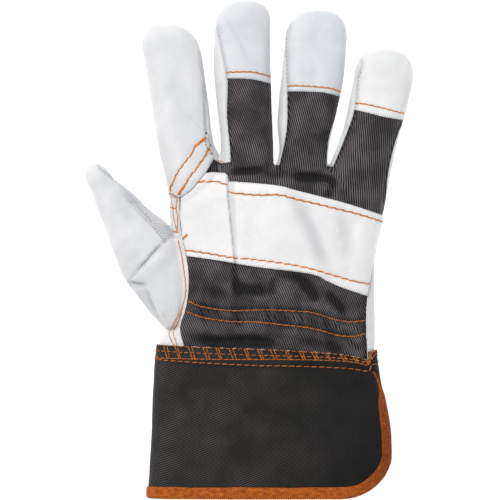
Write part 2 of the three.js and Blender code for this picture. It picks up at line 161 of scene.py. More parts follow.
# Seams and edges in plan.
SEAM = {
    "index": [(-24, 113), (-26.6, 105), (-24.7, 91), (-23.4, 66), (-21.4, 51.6)],
    "middle": [(-22, 127), (-18.6, 121), (-16.6, 114), (-12.2, 92), (-12.4, 73), (-10.8, 56), (-10.4, 47.6)],
    "ring": [(17, 125), (21.3, 120.5), (19.4, 112), (20.1, 86), (19.7, 65), (15.4, 45)],
    "ring_outer": [(51.8, 81), (48, 75), (44.4, 67), (42, 57), (41.2, 44)],
    "little": [(55, 106), (60.4, 101), (58, 92), (56.4, 76), (50.8, 60), (44, 43.6)],
    "cloth_side": [
        (86, 78), (79.1, 60.6), (74.6, 42), (72.2, 19), (66.5, -7), (63.2, -25), (62.6, -42), (64, -68),
    ],
    "cloth_thumb_side": [
        (-38, 28), (-37.4, 12), (-34.4, -3), (-33, -16), (-34.4, -30), (-37.6, -42), (-35, -54), (-35, -68),
    ],
    "thumb": [(-85.5, 50.4), (-81.3, 45.4), (-77, 41.2), (-68.9, 34.2), (-61.3, 25.2), (-53.6, 16.1), (-45.4, 5)],
    "thumb_root": [(-42.9, 10), (-45.6, 5), (-51.1, -0.4), (-56.5, -6.6), (-62.4, -13.4), (-68, -17.6), (-79, -19.4)],
    "patch_middle": [(-21.6, 55), (-27.8, 48.6), (-33.6, 40.8), (-38.6, 33.8), (-52, 26)],
    "patch_upper": [(-22.6, 63), (-29.8, 57.6), (-34.6, 50), (-39.8, 42.6), (-43.2, 36), (-49, 30.5)],
    "patch_lower": [(-19.4, 49.6), (-24.2, 41.3), (-31.1, 32.7), (-35.6, 29.4), (-40.4, 28.6), (-46, 30)],
    "strap_top": [(-11.5, 37.2), (13, 35.2), (26, 32), (50.9, 25.6), (72, 18.8)],
    "strap_foot": [(63.2, -24.6), (50, -20.2), (41.6, -16.6), (32.3, -12.6), (2.9, -8.8), (-17, -5.4), (-34.1, -3)],
}
STRAP_LEFT = [(-36.6, 7.6), (-37.7, 19), (-37.3, 28.4), (-31.1, 33), (-24.3, 41.6)]
STRAP_PLEAT = [(-20, 42.2), (-13.6, 41.8), (-11.8, 40.2)]
WELT = [(-38.3, 29), (-38.3, 6.6), (-40.6, 6.9), (-42.4, 13.2), (-56, 16), (-56, 32)]
CLOTH_CORNER = [(-15.6, 47), (-20.6, 49.6)]
CAP_EDGE = {
    "middle": [(-12.2, 92.6), (-1.3, 92.4), (4.4, 91.6), (14, 89.4)],
    "ring": [(20.1, 85.8), (31.6, 85.5), (40.7, 84.9), (54, 81.6)],
    "little": [(56.6, 75.8), (65.1, 73.8), (74.2, 71.6), (94, 68.8)],
}
PLEAT = [(-11.8, 42.5), (-12.3, 34.7), (-11.6, 25.4), (-10.2, 11.9), (-8.9, -1.6), (-8.2, -9)]
ELASTIC_UPPER = [
    (-36, -26), (-33.2, -27), (-26.5, -30), (-11.1, -32.3), (7.6, -31.9), (25.1, -32.6), (34.4, -33.6),
    (45.8, -37.2), (54.1, -38.4), (62.1, -37.7),
]
ELASTIC_LOWER = [
    (-37, -31.8), (-34.3, -32.8), (-24.5, -36.2), (-10, -38.2), (2.4, -38.4), (17.9, -40), (33.4, -41.9),
    (46.8, -45.5), (56.1, -46.2), (62.1, -44.6),
]

# The cuff's opening at the little-finger side, seen from the side, and its round corner in plan.
SLIT = {"y": -66, "height": 13.5, "foot_width": 9, "inner": 52, "outer": 90, "knee": -78, "rise": 4.8}
CUFF_FOOT = -133.6
CUFF_CORNER = {"x": 49, "y": -107, "width": 28.6, "depth": 26.6}
CUFF_TOP = [
    (80, -50.8), (68, -53.6), (64.6, -54.6), (64, -58.6), (56, -56.9), (44.6, -55.3), (21.9, -53.8), (5.3, -53),
    (-19.8, -52.1), (-41, -51.1), (-60, -50),
]
CUFF_DASH = [
    (-51.4, -58.4), (-42.9, -59.8), (-35.2, -60.6), (-26.5, -61.2), (-16.9, -61.8), (2.4, -62.3), (21, -62.3),
    (41.6, -63.2), (57.1, -64.1), (66.4, -65.3),
]
TAPE_LIP = 1.2

# Folds of the upper side: path in plan, width, and rise (under 0 for a crease).
FOLDS = [
    # The cloth under the pleat.
    ([(-8.6, -5), (-8.4, -11), (-7.4, -18), (-5.4, -26)], 1.4, -1.5),
    ([(-12.5, -6), (-12, -18), (-11, -28)], 3.4, 1.0),
    # Knuckles and finger roots.
    ([(20, 40.6), (27, 39.4), (35, 39.2), (41.5, 39), (44.6, 36.2), (43, 31)], 2.0, -2.9),
    ([(12, 37), (22, 35), (32, 33.6), (38, 32.4)], 2.8, 0.9),
    ([(19, 45.4), (28, 43.4), (40, 43.2)], 2.0, 1.3),
    ([(43.4, 33), (41.6, 30), (38, 28)], 1.8, -0.9),
    ([(48, 37), (49, 32), (47, 28)], 2.4, 0.7),
    ([(-12.4, 41.6), (-6, 42.4), (2, 42.8), (9.4, 44.4)], 1.7, -2.0),
    ([(-9, 38.6), (-3, 39), (4, 37.4)], 1.8, 0.7),
    ([(7, 42.2), (12.5, 41), (19, 41.4)], 2.0, -1.3),
    # The strap.
    ([(22, 31), (29, 18), (36, 4), (43, -14)], 4.2, -1.5),
    ([(46, 22), (51, 8), (50, -8)], 4.6, -1.0),
    ([(36, 27), (42, 12), (47, -8)], 4.6, 0.9),
    ([(10, 30), (14, 12), (20, -6)], 7.0, 0.7),
    ([(58, 18), (62, 4), (60, -14)], 4.0, 0.8),
    ([(9.6, 34), (9.4, 30), (8.8, 24)], 0.8, -0.35),
    # The wrist.
    ([(-11, -16), (-4, -20.5), (4, -21), (9, -26)], 3.2, -2.0),
    ([(26, -17), (33, -22), (36, -29)], 2.8, -2.0),
    ([(-28, -19), (-18, -22), (-9, -24)], 3.8, -1.5),
    ([(16, -12.6), (24, -14.4), (34, -18)], 2.0, -1.4),
    ([(40, -21), (46, -28), (51, -36)], 2.6, -1.9),
    ([(15, -12.5), (11.5, -20), (12.5, -29)], 1.8, -1.1),
    ([(-8, -27), (2, -28), (14, -25), (20, -20.5)], 2.8, 1.4),
    ([(28, -28), (40, -31), (52, -36)], 2.6, 1.1),
    ([(-2, -9), (2, -16), (0, -22)], 2.6, 0.8),
    # The cuff's mouth.
    ([(-33, -46), (-18, -49.4), (4, -49), (18, -51.5)], 2.8, -2.8),
    ([(24, -46), (36, -50), (52, -54)], 2.8, -1.6),
    ([(-28, -41.5), (-14, -43.8), (4, -43.5), (22, -45.5), (40, -50)], 2.4, 1.3),
    ([(50, -45), (56, -51), (62, -54)], 1.7, -1.0),
    # The web and the thumb.
    ([(-42, 2), (-49.5, -5), (-57, -12)], 4.0, 1.4),
    ([(-45.4, 5), (-51.1, -0.4), (-56.5, -6.6), (-62.4, -12.6)], 1.15, -1.5),
    ([(-68, -17.6), (-60, -18.8), (-55.6, -18.4)], 1.3, -2.3),
    ([(-57.4, -19.4), (-55.6, -22), (-51.9, -30.3), (-46.6, -39.6)], 1.2, -1.5),
    ([(-53, -20), (-50, -28), (-45, -38)], 3.2, 1.2),
    ([(-62, -23), (-57, -30), (-52, -37)], 4.0, -1.0),
    ([(-69, 34), (-56, 21), (-47, 12), (-42.6, 9)], 2.6, -2.2),
    ([(-66, 12), (-60, 0), (-58, -4)], 7.0, 0.9),
    ([(-74, 34), (-66, 20), (-60, 12)], 4.5, -0.7),
    # The fingers.
    ([(-40, 96), (-37, 76), (-36, 62)], 6.0, -0.4),
    ([(-34.6, 75), (-29, 69), (-24, 64)], 0.8, -0.25),
    ([(-15, 126), (-6, 114), (1, 99)], 1.5, -0.4),
    ([(33, 88), (35, 92), (34, 98)], 2.5, -0.4),
]
# Sewn seams draw the skin in: seam, depth, width and spacing of the puckers.
VALLEYS = [
    ("index", 0.8, 0.9, 2.4),
    ("middle", 0.8, 1.1, 2.4),
    ("ring", 0.8, 1.1, 2.4),
    ("little", 0.8, 1.1, 2.4),
    ("thumb", 1.3, 0.6, 1.9),
    ("cloth_side", 0.7, 1.4, 3.4),
]
# The elastic: half of the band between its rows, and the spacing of the puckers in it and of the lumps beyond it.
BAND = 3.4
PUCKER = 5.4
LUMP = 12.5


def smooth(points, steps=40):
    """An even, smooth curve through plan points."""
    p = np.array(points, float)
    last = len(p) - 1
    out = []
    for k in range(steps + 1):
        place = min(k / steps * last, last - 1e-9)
        i = int(place)
        t = place - i
        a, b = p[i], p[i + 1]
        va, vb = (b - p[max(i - 1, 0)]) / 2, (p[min(i + 2, last)] - a) / 2
        out.append((2 * a - 2 * b + va + vb) * t**3 + (-3 * a + 3 * b - 2 * va - vb) * t**2 + va * t + a)
    return np.array(out)


def listed(points, steps=40):
    """A smooth curve as a list of plan points, to be joined to others."""
    return [tuple(p) for p in smooth(points, steps)]


CURVES = {name: listed(points) for name, points in SEAM.items()}


def between(curve, low, high):
    return [p for p in curve if low <= p[1] <= high]


def along(curve, x, y):
    """For every plan point: distance to the curve, millimetres along it, its side (left is +1), and the length."""
    curve = np.asarray(curve, float)
    best, run_at, side = np.full(len(x), 1e9), np.zeros(len(x)), np.ones(len(x))
    run = 0.0
    for a, b in zip(curve[:-1], curve[1:]):
        dx, dy = b - a
        length = math.hypot(dx, dy)
        if length < 1e-6:
            continue
        t = np.clip(((x - a[0]) * dx + (y - a[1]) * dy) / length**2, 0, 1)
        ex, ey = x - a[0] - t * dx, y - a[1] - t * dy
        distance = np.hypot(ex, ey)
        closer = distance < best
        best = np.where(closer, distance, best)
        run_at = np.where(closer, run + t * length, run_at)
        side = np.where(closer, np.sign(dx * ey - dy * ex), side)
        run += length
    return best, run_at, side, run


def column(rows, name, y):
    """One column of a section table at every y, on a smooth curve through its rows."""
    ys, vs = (np.array([row[key] for row in rows], float) for key in ("y", name))
    last = len(ys) - 1
    k = np.arange(last + 1)
    before, after = np.maximum(k - 1, 0), np.minimum(k + 1, last)
    slopes = (vs[after] - vs[before]) / (ys[after] - ys[before])
    i = np.clip(np.searchsorted(-ys, -y, side="right") - 1, 0, last - 1)
    span = ys[i + 1] - ys[i]
    t = np.clip((y - ys[i]) / span, 0, 1)
    start = (1 + 2 * t) * (1 - t) ** 2 * vs[i] + t * (1 - t) ** 2 * span * slopes[i]
    end = t * t * (3 - 2 * t) * vs[i + 1] - t * t * (1 - t) * span * slopes[i + 1]
    return start + end


def fade(value, low, high):
    t = np.clip((value - low) / (high - low), 0, 1)
    return t * t * (3 - 2 * t)


def bell(distance, width):
    return np.exp(-((distance / width) ** 2))


def wave(value, length):
    return np.cos(2 * math.pi * value / length)


def clouds(points, size, seed):
    """Smooth noise from -1 to 1 at every point."""
    shift = Vector((seed * 7.3, seed * 3.1, seed * 5.7))
    return np.array([noise.noise(Vector(p) / size + shift) for p in points])


def run_along(points):
    """How far along a line of points each of them lies."""
    return np.concatenate([[0], np.cumsum(np.linalg.norm(np.diff(points, axis=0), axis=1))])


def at_run(points, run, at):
    return np.array([np.interp(at, run, values) for values in points.T])


def rubbed(values, rounds):
    """Values round a closed loop, each drawn towards its neighbours again and again."""
    for _ in range(rounds):
        values = (np.roll(values, 1, 0) + 2 * values + np.roll(values, -1, 0)) / 4
    return values


def unit(vectors):
    return vectors / np.linalg.norm(vectors, axis=1)[:, None]


@contextmanager
def shaping(mesh):
    """The mesh as a bmesh, written back when the work on it is done."""
    bm = bmesh.new()
    bm.from_mesh(mesh)
    yield bm
    bm.to_mesh(mesh)
    bm.free()


def placed(name, data):
    """A new object of the scene."""
    thing = bpy.data.objects.new(name, data)
    bpy.context.scene.collection.objects.link(thing)
    return thing


def points_of(mesh, kind="co"):
    values = np.empty(len(mesh.vertices) * 3)
    mesh.vertices.foreach_get(kind, values)
    return values.reshape(-1, 3)


def normals_of(mesh):
    return points_of(mesh, "normal")


def put_points(mesh, co):
    """Moves a mesh's points, none of them under the floor."""
    co[:, 2] = np.maximum(co[:, 2], 0)
    mesh.vertices.foreach_set("co", co.ravel())
    mesh.update()


def surface_of(mesh):
    return BVHTree.FromPolygons(points_of(mesh).tolist(), [list(p.vertices) for p in mesh.polygons])


MARKS = [bpy.data.materials.new("kept_face"), bpy.data.materials.new("cut_face")]


def marked(mesh, mark=0):
    """A mesh whose faces carry the mark that tells its own skin (0) from a cut (1)."""
    mesh.materials.clear()
    for material in MARKS:
        mesh.materials.append(material)
    mesh.polygons.foreach_set("material_index", [mark] * len(mesh.polygons))
    return mesh


def evaluated(mesh, kind, **settings):
    """A mesh after one modifier."""
    holder = placed("holder", mesh)
    modifier = holder.modifiers.new("work", kind)
    for name, value in settings.items():
        setattr(modifier, name, value)
    graph = bpy.context.evaluated_depsgraph_get()
    result = bpy.data.meshes.new_from_object(holder.evaluated_get(graph))
    bpy.data.objects.remove(holder)
    return result


def carve(mesh, blade, operation):
    tool = placed("blade", blade)
    result = evaluated(mesh, "BOOLEAN", object=tool, operation=operation, solver="MANIFOLD")
    bpy.data.objects.remove(tool)
    return result


def joined(meshes):
    return reduce(lambda whole, mesh: carve(whole, mesh, "UNION"), meshes)


def limb(spec, around=80, rings=120, tip_share=0.2, foot_share=0.97):
    """One finger, the thumb, the hand or the cuff as a closed tube shaped from a ball."""
    rows, tip = spec["sections"], spec.get("tip")
    mesh = bpy.data.meshes.new("limb")
    with shaping(mesh) as bm:
        bmesh.ops.create_uvsphere(bm, u_segments=around, v_segments=rings, radius=1)
        co = np.array([v.co[:] for v in bm.verts])
        polar = np.arccos(np.clip(co[:, 2], -1, 1)) / math.pi
        angle = np.arctan2(co[:, 1], co[:, 0])
        first, foot = rows[0]["y"], rows[-1]["y"]
        cap = np.cos(np.clip(polar / tip_share, 0, 1) * math.pi / 2)
        y = first + (foot - first) * np.clip((polar - tip_share) / (foot_share - tip_share), 0, 1)
        left, right, top, base = (column(rows, name, y) for name in SECTION[1:])
        base = np.maximum(base, 0)
        centre = (left + right) / 2
        share = np.clip((1 - polar) / (1 - foot_share), 0, 1)
        if tip:
            share = share * (1 - cap**TIP_SQUARENESS) ** (1 / TIP_SQUARENESS)
            centre = centre + (tip[0] - (rows[0]["left"] + rows[0]["right"]) / 2) * cap
            y = y + cap * (tip[1] - first)
        else:
            share = np.minimum(share, np.clip(polar / (1 - foot_share), 0, 1))
        across, up = (np.sign(v) * np.abs(v) ** (2 / SQUARENESS) for v in (np.cos(angle), np.sin(angle)))
        middle = base + MIDDLE_LEVEL * (top - base)
        over = middle + share * up * (top - middle)
        under = np.maximum(base, middle + share * BASE_FLAT * up * (middle - base))
        x = centre + share * (right - left) / 2 * across
        turn = math.radians(spec.get("turn", 0))
        px, py = spec.get("place", (0, 0))
        places = (
            x * math.cos(turn) - y * math.sin(turn) + px,
            x * math.sin(turn) + y * math.cos(turn) + py,
            np.where(up > 0, over, under),
        )
        for v, place in zip(bm.verts, np.stack(places, 1)):
            v.co = place
        bmesh.ops.recalc_face_normals(bm, faces=bm.faces)
    return marked(mesh)


def relief(co, normals):
    """Height that folds and gathers add to the hand's skin."""
    x, y, z = co.T
    rise = np.zeros(len(x))
    for path, width, height in FOLDS:
        (left, low), (right, high) = np.min(path, 0) - 4 * width, np.max(path, 0) + 4 * width
        near = (x > left) & (x < right) & (y > low) & (y < high)
        if near.any():
            distance, run, _, total = along(smooth(path, 12), x[near], y[near])
            ends = fade(run, 0, total * 0.3) * fade(total - run, 0, total * 0.3)
            rise[near] += height * bell(distance, width) * (0.25 + 0.75 * ends)
    # Elastic rows draw the cloth in, with short slanted puckers between them and soft lumps beyond.
    upper, run, _, _ = along(smooth(ELASTIC_UPPER), x, y)
    lower = along(smooth(ELASTIC_LOWER), x, y)[0]
    sides = fade(x, -35, -28) * (1 - fade(x, 56, 63))
    wander = 2.4 * np.sin(run * 0.11) + 1.3 * np.sin(run * 0.37 + 1)
    rise += sides * 0.75 * (bell(lower - BAND, 3.2) * bell(upper - BAND, 3.2)) * wave(x + 0.45 * y + wander, PUCKER)
    beyond = bell(np.minimum(upper, lower) - 2.5, 6.5)
    rise += sides * 0.5 * beyond * wave(x + 0.3 * y + 2 * wander, LUMP)
    rise -= sides * 0.9 * (bell(upper, 1.5) + bell(lower, 1.5))
    return rise * (fade(normals[:, 2], 0.05, 0.6) * fade(z, 6, 12))


def seam_valleys(co, normals):
    """How far the skin is drawn in along the sewn seams of the upper side."""
    x, y, z = co.T
    drop = np.zeros(len(x))
    for name, depth, width, pitch in VALLEYS:
        distance, run, _, _ = along(CURVES[name], x, y)
        drop += depth * (1 + 0.12 * wave(run, pitch)) * bell(distance, width)
    return drop * (fade(normals[:, 2], -0.1, 0.25) * fade(z, 5, 9))


def fold_depth(co, normals):
    """How much painted shade each point gets from how deep it lies in a fold or a seam."""
    folds, seams = -relief(co, normals) / 1.5, seam_valleys(co, normals) / 1.2
    return np.clip(folds, 0, 1) * 0.85 + np.clip(seams, 0, 1) * 0.72


def folded_skin(size, rounds):
    """The whole hand as one even skin, with its folds, gathers, seam valleys and soft unevenness."""
    skin = evaluated(joined(map(limb, LIMBS.values())), "REMESH", mode="VOXEL", voxel_size=size)
    with shaping(skin) as bm:
        for _ in range(rounds):
            bmesh.ops.smooth_vert(bm, verts=bm.verts, factor=0.5, use_axis_x=True, use_axis_y=True, use_axis_z=True)
    put_points(skin, points_of(skin))
    co, normals = points_of(skin), normals_of(skin)
    lift = relief(co, normals) - seam_valleys(co, normals)
    fingers = fade(co[:, 1], 30, 60)
    lift += (0.34 - 0.12 * fingers) * clouds(co, 17, 1) + 0.11 * clouds(co, 5.5, 2)
    lift *= np.where(co[:, 2] < 0.3, 0, 1)
    put_points(skin, co + normals * lift[:, None])
    return marked(skin)


def slab(corners, way):
    """A flat outline pushed along a vector into a closed block, all of its faces marked as a cut."""
    mesh = bpy.data.meshes.new("slab")
    with shaping(mesh) as bm:
        face = bm.faces.new([bm.verts.new(corner) for corner in corners])
        far = bmesh.ops.extrude_face_region(bm, geom=[face])["geom"]
        bmesh.ops.translate(bm, verts=[g for g in far if isinstance(g, bmesh.types.BMVert)], vec=way)
        bmesh.ops.recalc_face_normals(bm, faces=bm.faces)
    return marked(mesh, 1)


def prism(outline, low=UNDER, high=SKY):
    """An upright block over a plan outline."""
    return slab([(px, py, low) for px, py in outline], (0, 0, high - low))


def sheet_of(mesh, least=60):
    """The uncut skin of a carved mesh as an open sheet, without its crumbs."""
    sheet = mesh.copy()
    with shaping(sheet) as bm:
        bmesh.ops.delete(bm, geom=[f for f in bm.faces if f.material_index == 1], context="FACES")
        bmesh.ops.remove_doubles(bm, verts=bm.verts, dist=0.04)
        bmesh.ops.dissolve_degenerate(bm, dist=0.02, edges=bm.edges)
        left = set(bm.faces)
        crumbs = []
        while left:
            island = [left.pop()]
            for face in island:
                for other in (other for edge in face.edges for other in edge.link_faces if other in left):
                    left.discard(other)
                    island.append(other)
            if len(island) < least:
                crumbs += island
        bmesh.ops.delete(bm, geom=crumbs, context="FACES")
    return sheet


def border_distance(mesh, reach=4.0):
    """Distance from every point of an open sheet to its border, up to reach."""
    counts = Counter(key for polygon in mesh.polygons for key in polygon.edge_keys)
    border = [key for key, count in counts.items() if count == 1]
    co = points_of(mesh)
    tree = KDTree(len(border) * 2)
    for i, (a, b) in enumerate(border):
        tree.insert(co[a], 2 * i)
        tree.insert((co[a] + co[b]) / 2, 2 * i + 1)
    tree.balance()
    return np.array([min(tree.find(p)[2], reach) for p in co])


def store(mesh, name, values):
    layer = mesh.attributes.new(name, "FLOAT", "POINT")
    layer.data.foreach_set("value", np.asarray(values, np.float32))


def lay_threads(mesh, u, v):
    """A UV map in centimetres that the weave follows."""
    layer = mesh.uv_layers.new(name="thread_lines")
    corners = np.empty(len(mesh.loops), int)
    mesh.loops.foreach_get("vertex_index", corners)
    layer.data.foreach_set("uv", np.stack([u[corners], v[corners]], 1).ravel() / 10)


def rows(pitch, fill, gauge, *paths):
    """Rows of thread: path in plan, pitch, share of the pitch that a stitch fills, and gauge."""
    return [(path, pitch, fill, gauge) for path in paths]


STRAP_ROWS = rows(
    4.6, 1.16, 0.86,
    [(-30, 35.6), (-26.8, 36.9), (-23.5, 37), (-17.8, 36.9), (-12.4, 35.2)],
    [(-11.8, 32.4), (-9.5, 31.1), (2.9, 29.8), (15.3, 29.8), (24.4, 27.7), (42.6, 23.4), (59.1, 19.3), (71.4, 15.4)],
    [
        (-34.6, 0.2), (-23.5, -1.4), (-9.5, -3.8), (2.9, -4.9), (17.8, -6.9), (30.2, -9.2), (40.9, -12.2),
        (53.4, -15.8), (65, -18.2),
    ],
)
PATCH_ROWS = rows(
    4.0, 1.16, 0.94,
    [
        (-23.7, 60.4), (-29.2, 56.2), (-31.3, 52.1), (-34.3, 48.2), (-37, 44.6), (-39.4, 40.9), (-41.4, 36.6),
        (-42.7, 34), (-42.8, 31.6),
    ],
    [(-22.8, 54), (-24.2, 50.9), (-27.3, 46.4), (-29.4, 43.2), (-32, 40.2), (-33.5, 37.6), (-35.6, 34), (-38.2, 30)],
)
CAP_PATHS = {
    "middle": [(-12.9, 96), (-1.7, 96.2), (3.2, 95.8), (10.9, 93.9)],
    "ring": [(18.2, 88.5), (25.7, 88.7), (36, 88.1), (43.5, 87.3), (50.4, 85.2)],
    "little": [(55.6, 79.1), (59.7, 79.2), (67, 77.8), (74.2, 76.1), (79.6, 74.7), (85.4, 73.6)],
}
CAP_ROWS = {name: rows(3.4, 1.16, 0.76, path) for name, path in CAP_PATHS.items()}
ELASTIC_ROWS = rows(3.6, 1.25, 0.68, ELASTIC_UPPER[1:], ELASTIC_LOWER[1:])
WEB_ROWS = rows(
    3.4, 1.2, 0.54,
    [(-38.6, 4.5), (-37, -1.3), (-35.5, -10.7), (-34.6, -18.3), (-34.8, -24.1), (-36.8, -31.8)],
) + rows(
    3.2, 1.2, 0.54,
    [(-36.9, -31.6), (-41.3, -39.8), (-43.5, -44.7), (-42.6, -48), (-40.8, -51.4)],
    [(-36.6, -32.8), (-39.6, -40.2), (-41.2, -43.8), (-40.4, -47.4), (-39, -51.7)],
)
WELT_ROWS = [
    ([(-42.7, 31.5), (-42.4, 26.8), (-41.6, 23.2), (-41.2, 18.5), (-39.9, 13), (-39.2, 10.3)], 3.2, 1.15, 0.5),
    ([(-38.9, 29.3), (-39.5, 26.2), (-39.8, 22.4), (-39.1, 19.3), (-39, 14.4), (-39, 10.8)], 3.2, 1.1, 0.5),
    ([(-44.6, 30.9), (-42.8, 30.2), (-39.9, 28.3)], 2.2, 1.0, 0.7),
    ([(-43.6, 23.6), (-39.6, 22.4)], 2.2, 1.0, 0.7),
    ([(-41.9, 10.4), (-38.6, 9.7)], 2.0, 1.0, 0.75),
]
CROTCH_ROWS = rows(1.9, 0.6, 0.55, [(-20.2, 50.2), (-19, 48.9), (-16.4, 48.2), (-14, 47.6)])
PATCH_END_ROWS = [
    ([(-24.1, 59.4), (-23.8, 56.5), (-22.7, 54.7), (-21.6, 52.9), (-21, 51.4)], 2.0, 0.55, 0.85),
    ([(-43.6, 30.9), (-41.4, 30), (-39.4, 29.2)], 1.9, 0.8, 0.7),
]
# Bar tacks: piece, start and end in plan, width, turns and gauge.
TACKS = [
    ("leather_index_patch", (-29.3, 56.2), (-23.7, 60.9), 1.5, 14, 0.8),
    ("leather_index_patch", (-38.6, 30.2), (-35.6, 34.6), 1.1, 10, 0.7),
    ("leather_index_patch", (-23.6, 52.8), (-21.7, 55.2), 0.8, 6, 0.6),
    ("leather_knuckle_strap", (-36.3, 6.2), (-33.6, 8.6), 1.0, 10, 0.8),
    ("leather_side_welt", (-41.2, 10.3), (-38.6, 9.9), 0.6, 5, 0.55),
    ("leather_palm", (-38.6, 5.4), (-38.2, 3.4), 0.6, 5, 0.46),
]
# Needle holes along the sewn edges of the finger caps: seam, span in Y, and distance in from the seam.
HOLE_ROWS = table(["seam", "low", "high", "inset"], [
    ("middle", 113, 123, 0.3),
    ("ring", 88, 116, 0.4),
    ("little", 76, 98, 0.5),
])


def channel(rows, x, y):
    """How far the thread pulls the sheet down along its rows."""
    drop = np.zeros(len(x))
    for path, pitch, _, gauge in rows:
        distance, run, _, _ = along(smooth(path), x, y)
        drop += 0.5 * gauge * (0.65 + 0.35 * wave(run, pitch)) * bell(distance, 0.85)
    return drop


class Finish:
    """A material under way: its colour and its surface are built up step by step."""

    def __init__(self, name):
        self.material = bpy.data.materials.new(name)
        self.material.use_nodes = True
        self.tree = self.material.node_tree
        self.shader = self.tree.nodes["Principled BSDF"]
        self.place = self.add("TexCoord").outputs["Object"]
        self.colour = self.normal = None

    def put(self, socket, value):
        if isinstance(value, bpy.types.NodeSocket):
            self.tree.links.new(value, socket)
        elif value is not None:
            socket.default_value = (*value, 1) if socket.type == "RGBA" else value

    def add(self, kind, inputs=(), **settings):
        """A shader node with its settings, and its inputs set to values or joined to other sockets."""
        node = self.tree.nodes.new("ShaderNode" + kind)
        for name, value in settings.items():
            setattr(node, name, value)
        for name, value in dict(inputs).items():
            self.put(node.inputs[name], value)
        return node

    def maths(self, operation, *values):
        return self.add("Math", enumerate(values), operation=operation).outputs[0]

    def plus(self, *values):
        return reduce(lambda a, b: self.maths("ADD", a, b), values)

    def times(self, *values):
        return reduce(lambda a, b: self.maths("MULTIPLY", a, b), values)

    def ridges(self, value, kind="COSINE"):
        """Even ridges from 0 to 1, one for every 1 of the value."""
        return self.maths("MULTIPLY_ADD", self.maths(kind, self.times(value, 2 * math.pi)), 0.5, 0.5)

    def spread(self, value, low, high, to_low=0.0, to_high=1.0):
        limits = {"From Min": low, "From Max": high, "To Min": to_low, "To Max": to_high}
        return self.add("MapRange", {"Value": value, **limits}).outputs["Result"]

    def speckle(self, size, detail=3.0, roughness=0.5, distortion=0.0):
        """Noise whose features are about size millimetres across."""
        return self.add("TexNoise", {
            "Vector": self.place, "Scale": 1000 / size, "Detail": detail, "Roughness": roughness,
            "Distortion": distortion,
        }).outputs["Fac"]

    def read(self, name):
        return self.add("Attribute", attribute_type="GEOMETRY", attribute_name=name).outputs["Fac"]

    def split(self, vector):
        return self.add("SeparateXYZ", {"Vector": vector}).outputs

    def threads(self):
        return self.add("UVMap", uv_map="thread_lines").outputs["UV"]

    def mix(self, share, low, high):
        self.colour = self.add("Mix", {0: share, 6: low, 7: high}, data_type="RGBA").outputs[2]

    def tint(self, share, colour):
        self.mix(share, self.colour, colour)

    def bump(self, height, depth):
        inputs = {"Height": height, "Distance": depth * MM, "Normal": self.normal}
        self.normal = self.add("Bump", inputs).outputs["Normal"]

    def finished(self, **values):
        """The material, its shader's sockets joined to the colour and surface or set to values."""
        values = {"base_color": self.colour, "normal": self.normal, **values}
        for socket in self.shader.inputs:
            self.put(socket, values.get(socket.name.lower().replace(" ", "_")))
        return self.material


def pale_leather(name, light, shade, warmth):
    """Matt pale grain leather: pores, cloudy tone, painted blue-grey shade in the folds and seams, and grey along cut
    edges.
    """
    f = Finish(name)
    f.mix(f.spread(f.speckle(16, 4, 0.55, 0.6), 0.35, 0.68), shade, light)
    f.tint(f.spread(f.speckle(5, 5, 0.6), 0.58, 0.78, 0, 0.35), warmth)
    f.tint(f.spread(f.speckle(0.7, 2), 0.66, 0.78, 0, 0.22), (0.42, 0.42, 0.42))
    # Painted shade: blue-grey in folds, seams and the spots turned away from the light.
    f.tint(f.times(f.read("fold_depth"), 0.62), (0.36, 0.385, 0.42))
    edge = f.spread(f.read("edge_distance"), 0.05, 0.9, 0.5, 0.0)
    f.tint(f.times(edge, f.spread(f.speckle(1.4, 3), 0.35, 0.65)), (0.5, 0.5, 0.49))
    f.bump(f.speckle(4.5, 3), 0.30)
    f.bump(f.speckle(1.3, 3, 0.6), 0.10)
    pores = f.add("TexVoronoi", {"Vector": f.place, "Scale": 1000 / 0.85, "Randomness": 1.0}, feature="F1")
    f.bump(pores.outputs["Distance"], 0.06)
    return f.finished(
        roughness=f.spread(f.speckle(7, 3), 0.3, 0.7, 0.5, 0.66), specular_ior_level=0.42,
        sheen_weight=0.08, sheen_roughness=0.5,
    )


def twill(name, dark, light, angle, pitch, float_length, contrast, depth, patchy, painted_right_shade=False):
    """Diagonal twill: raised ribs made of short floats, drawn on the sheet's thread lines in centimetres."""
    f = Finish(name)
    u, v, _ = f.split(f.threads())
    wander = f.times(f.maths("SUBTRACT", f.speckle(9, 3), 0.5), 0.7)
    turn = math.radians(angle)
    sine, cosine = 10 * math.sin(turn), 10 * math.cos(turn)
    ribs = f.plus(f.times(u, -sine / pitch), wander, f.times(v, cosine / pitch))
    step = f.times(f.maths("FLOOR", ribs), 0.37)
    floats = f.plus(f.times(u, cosine / float_length), wander, f.times(v, sine / float_length), step)
    yarn = f.times(f.ridges(ribs), f.maths("MULTIPLY_ADD", f.ridges(floats), 0.2, 0.8))
    worn = f.spread(f.speckle(patchy, 3, 0.55), 0.36, 0.66, 0.35, 1.0)
    f.mix(f.times(f.maths("POWER", yarn, 1.7), worn, contrast), dark, light)
    shadow = tuple(c * 0.3 for c in dark)
    f.tint(f.times(f.read("fold_depth"), 0.95), shadow)
    # Painted shade: darker towards +X, the side turned away from the key light.
    if painted_right_shade:
        f.tint(f.spread(f.split(f.place)["X"], -0.02, 0.06, 0.0, 0.75), shadow)
    f.tint(f.spread(f.speckle(1.1, 2), 0.8, 0.86, 0, 0.4), (0.3, 0.29, 0.29))
    f.bump(f.speckle(5, 3), 0.25)
    f.bump(yarn, depth)
    return f.finished(roughness=0.88, specular_ior_level=0.25, sheen_weight=0.12, sheen_roughness=0.4)


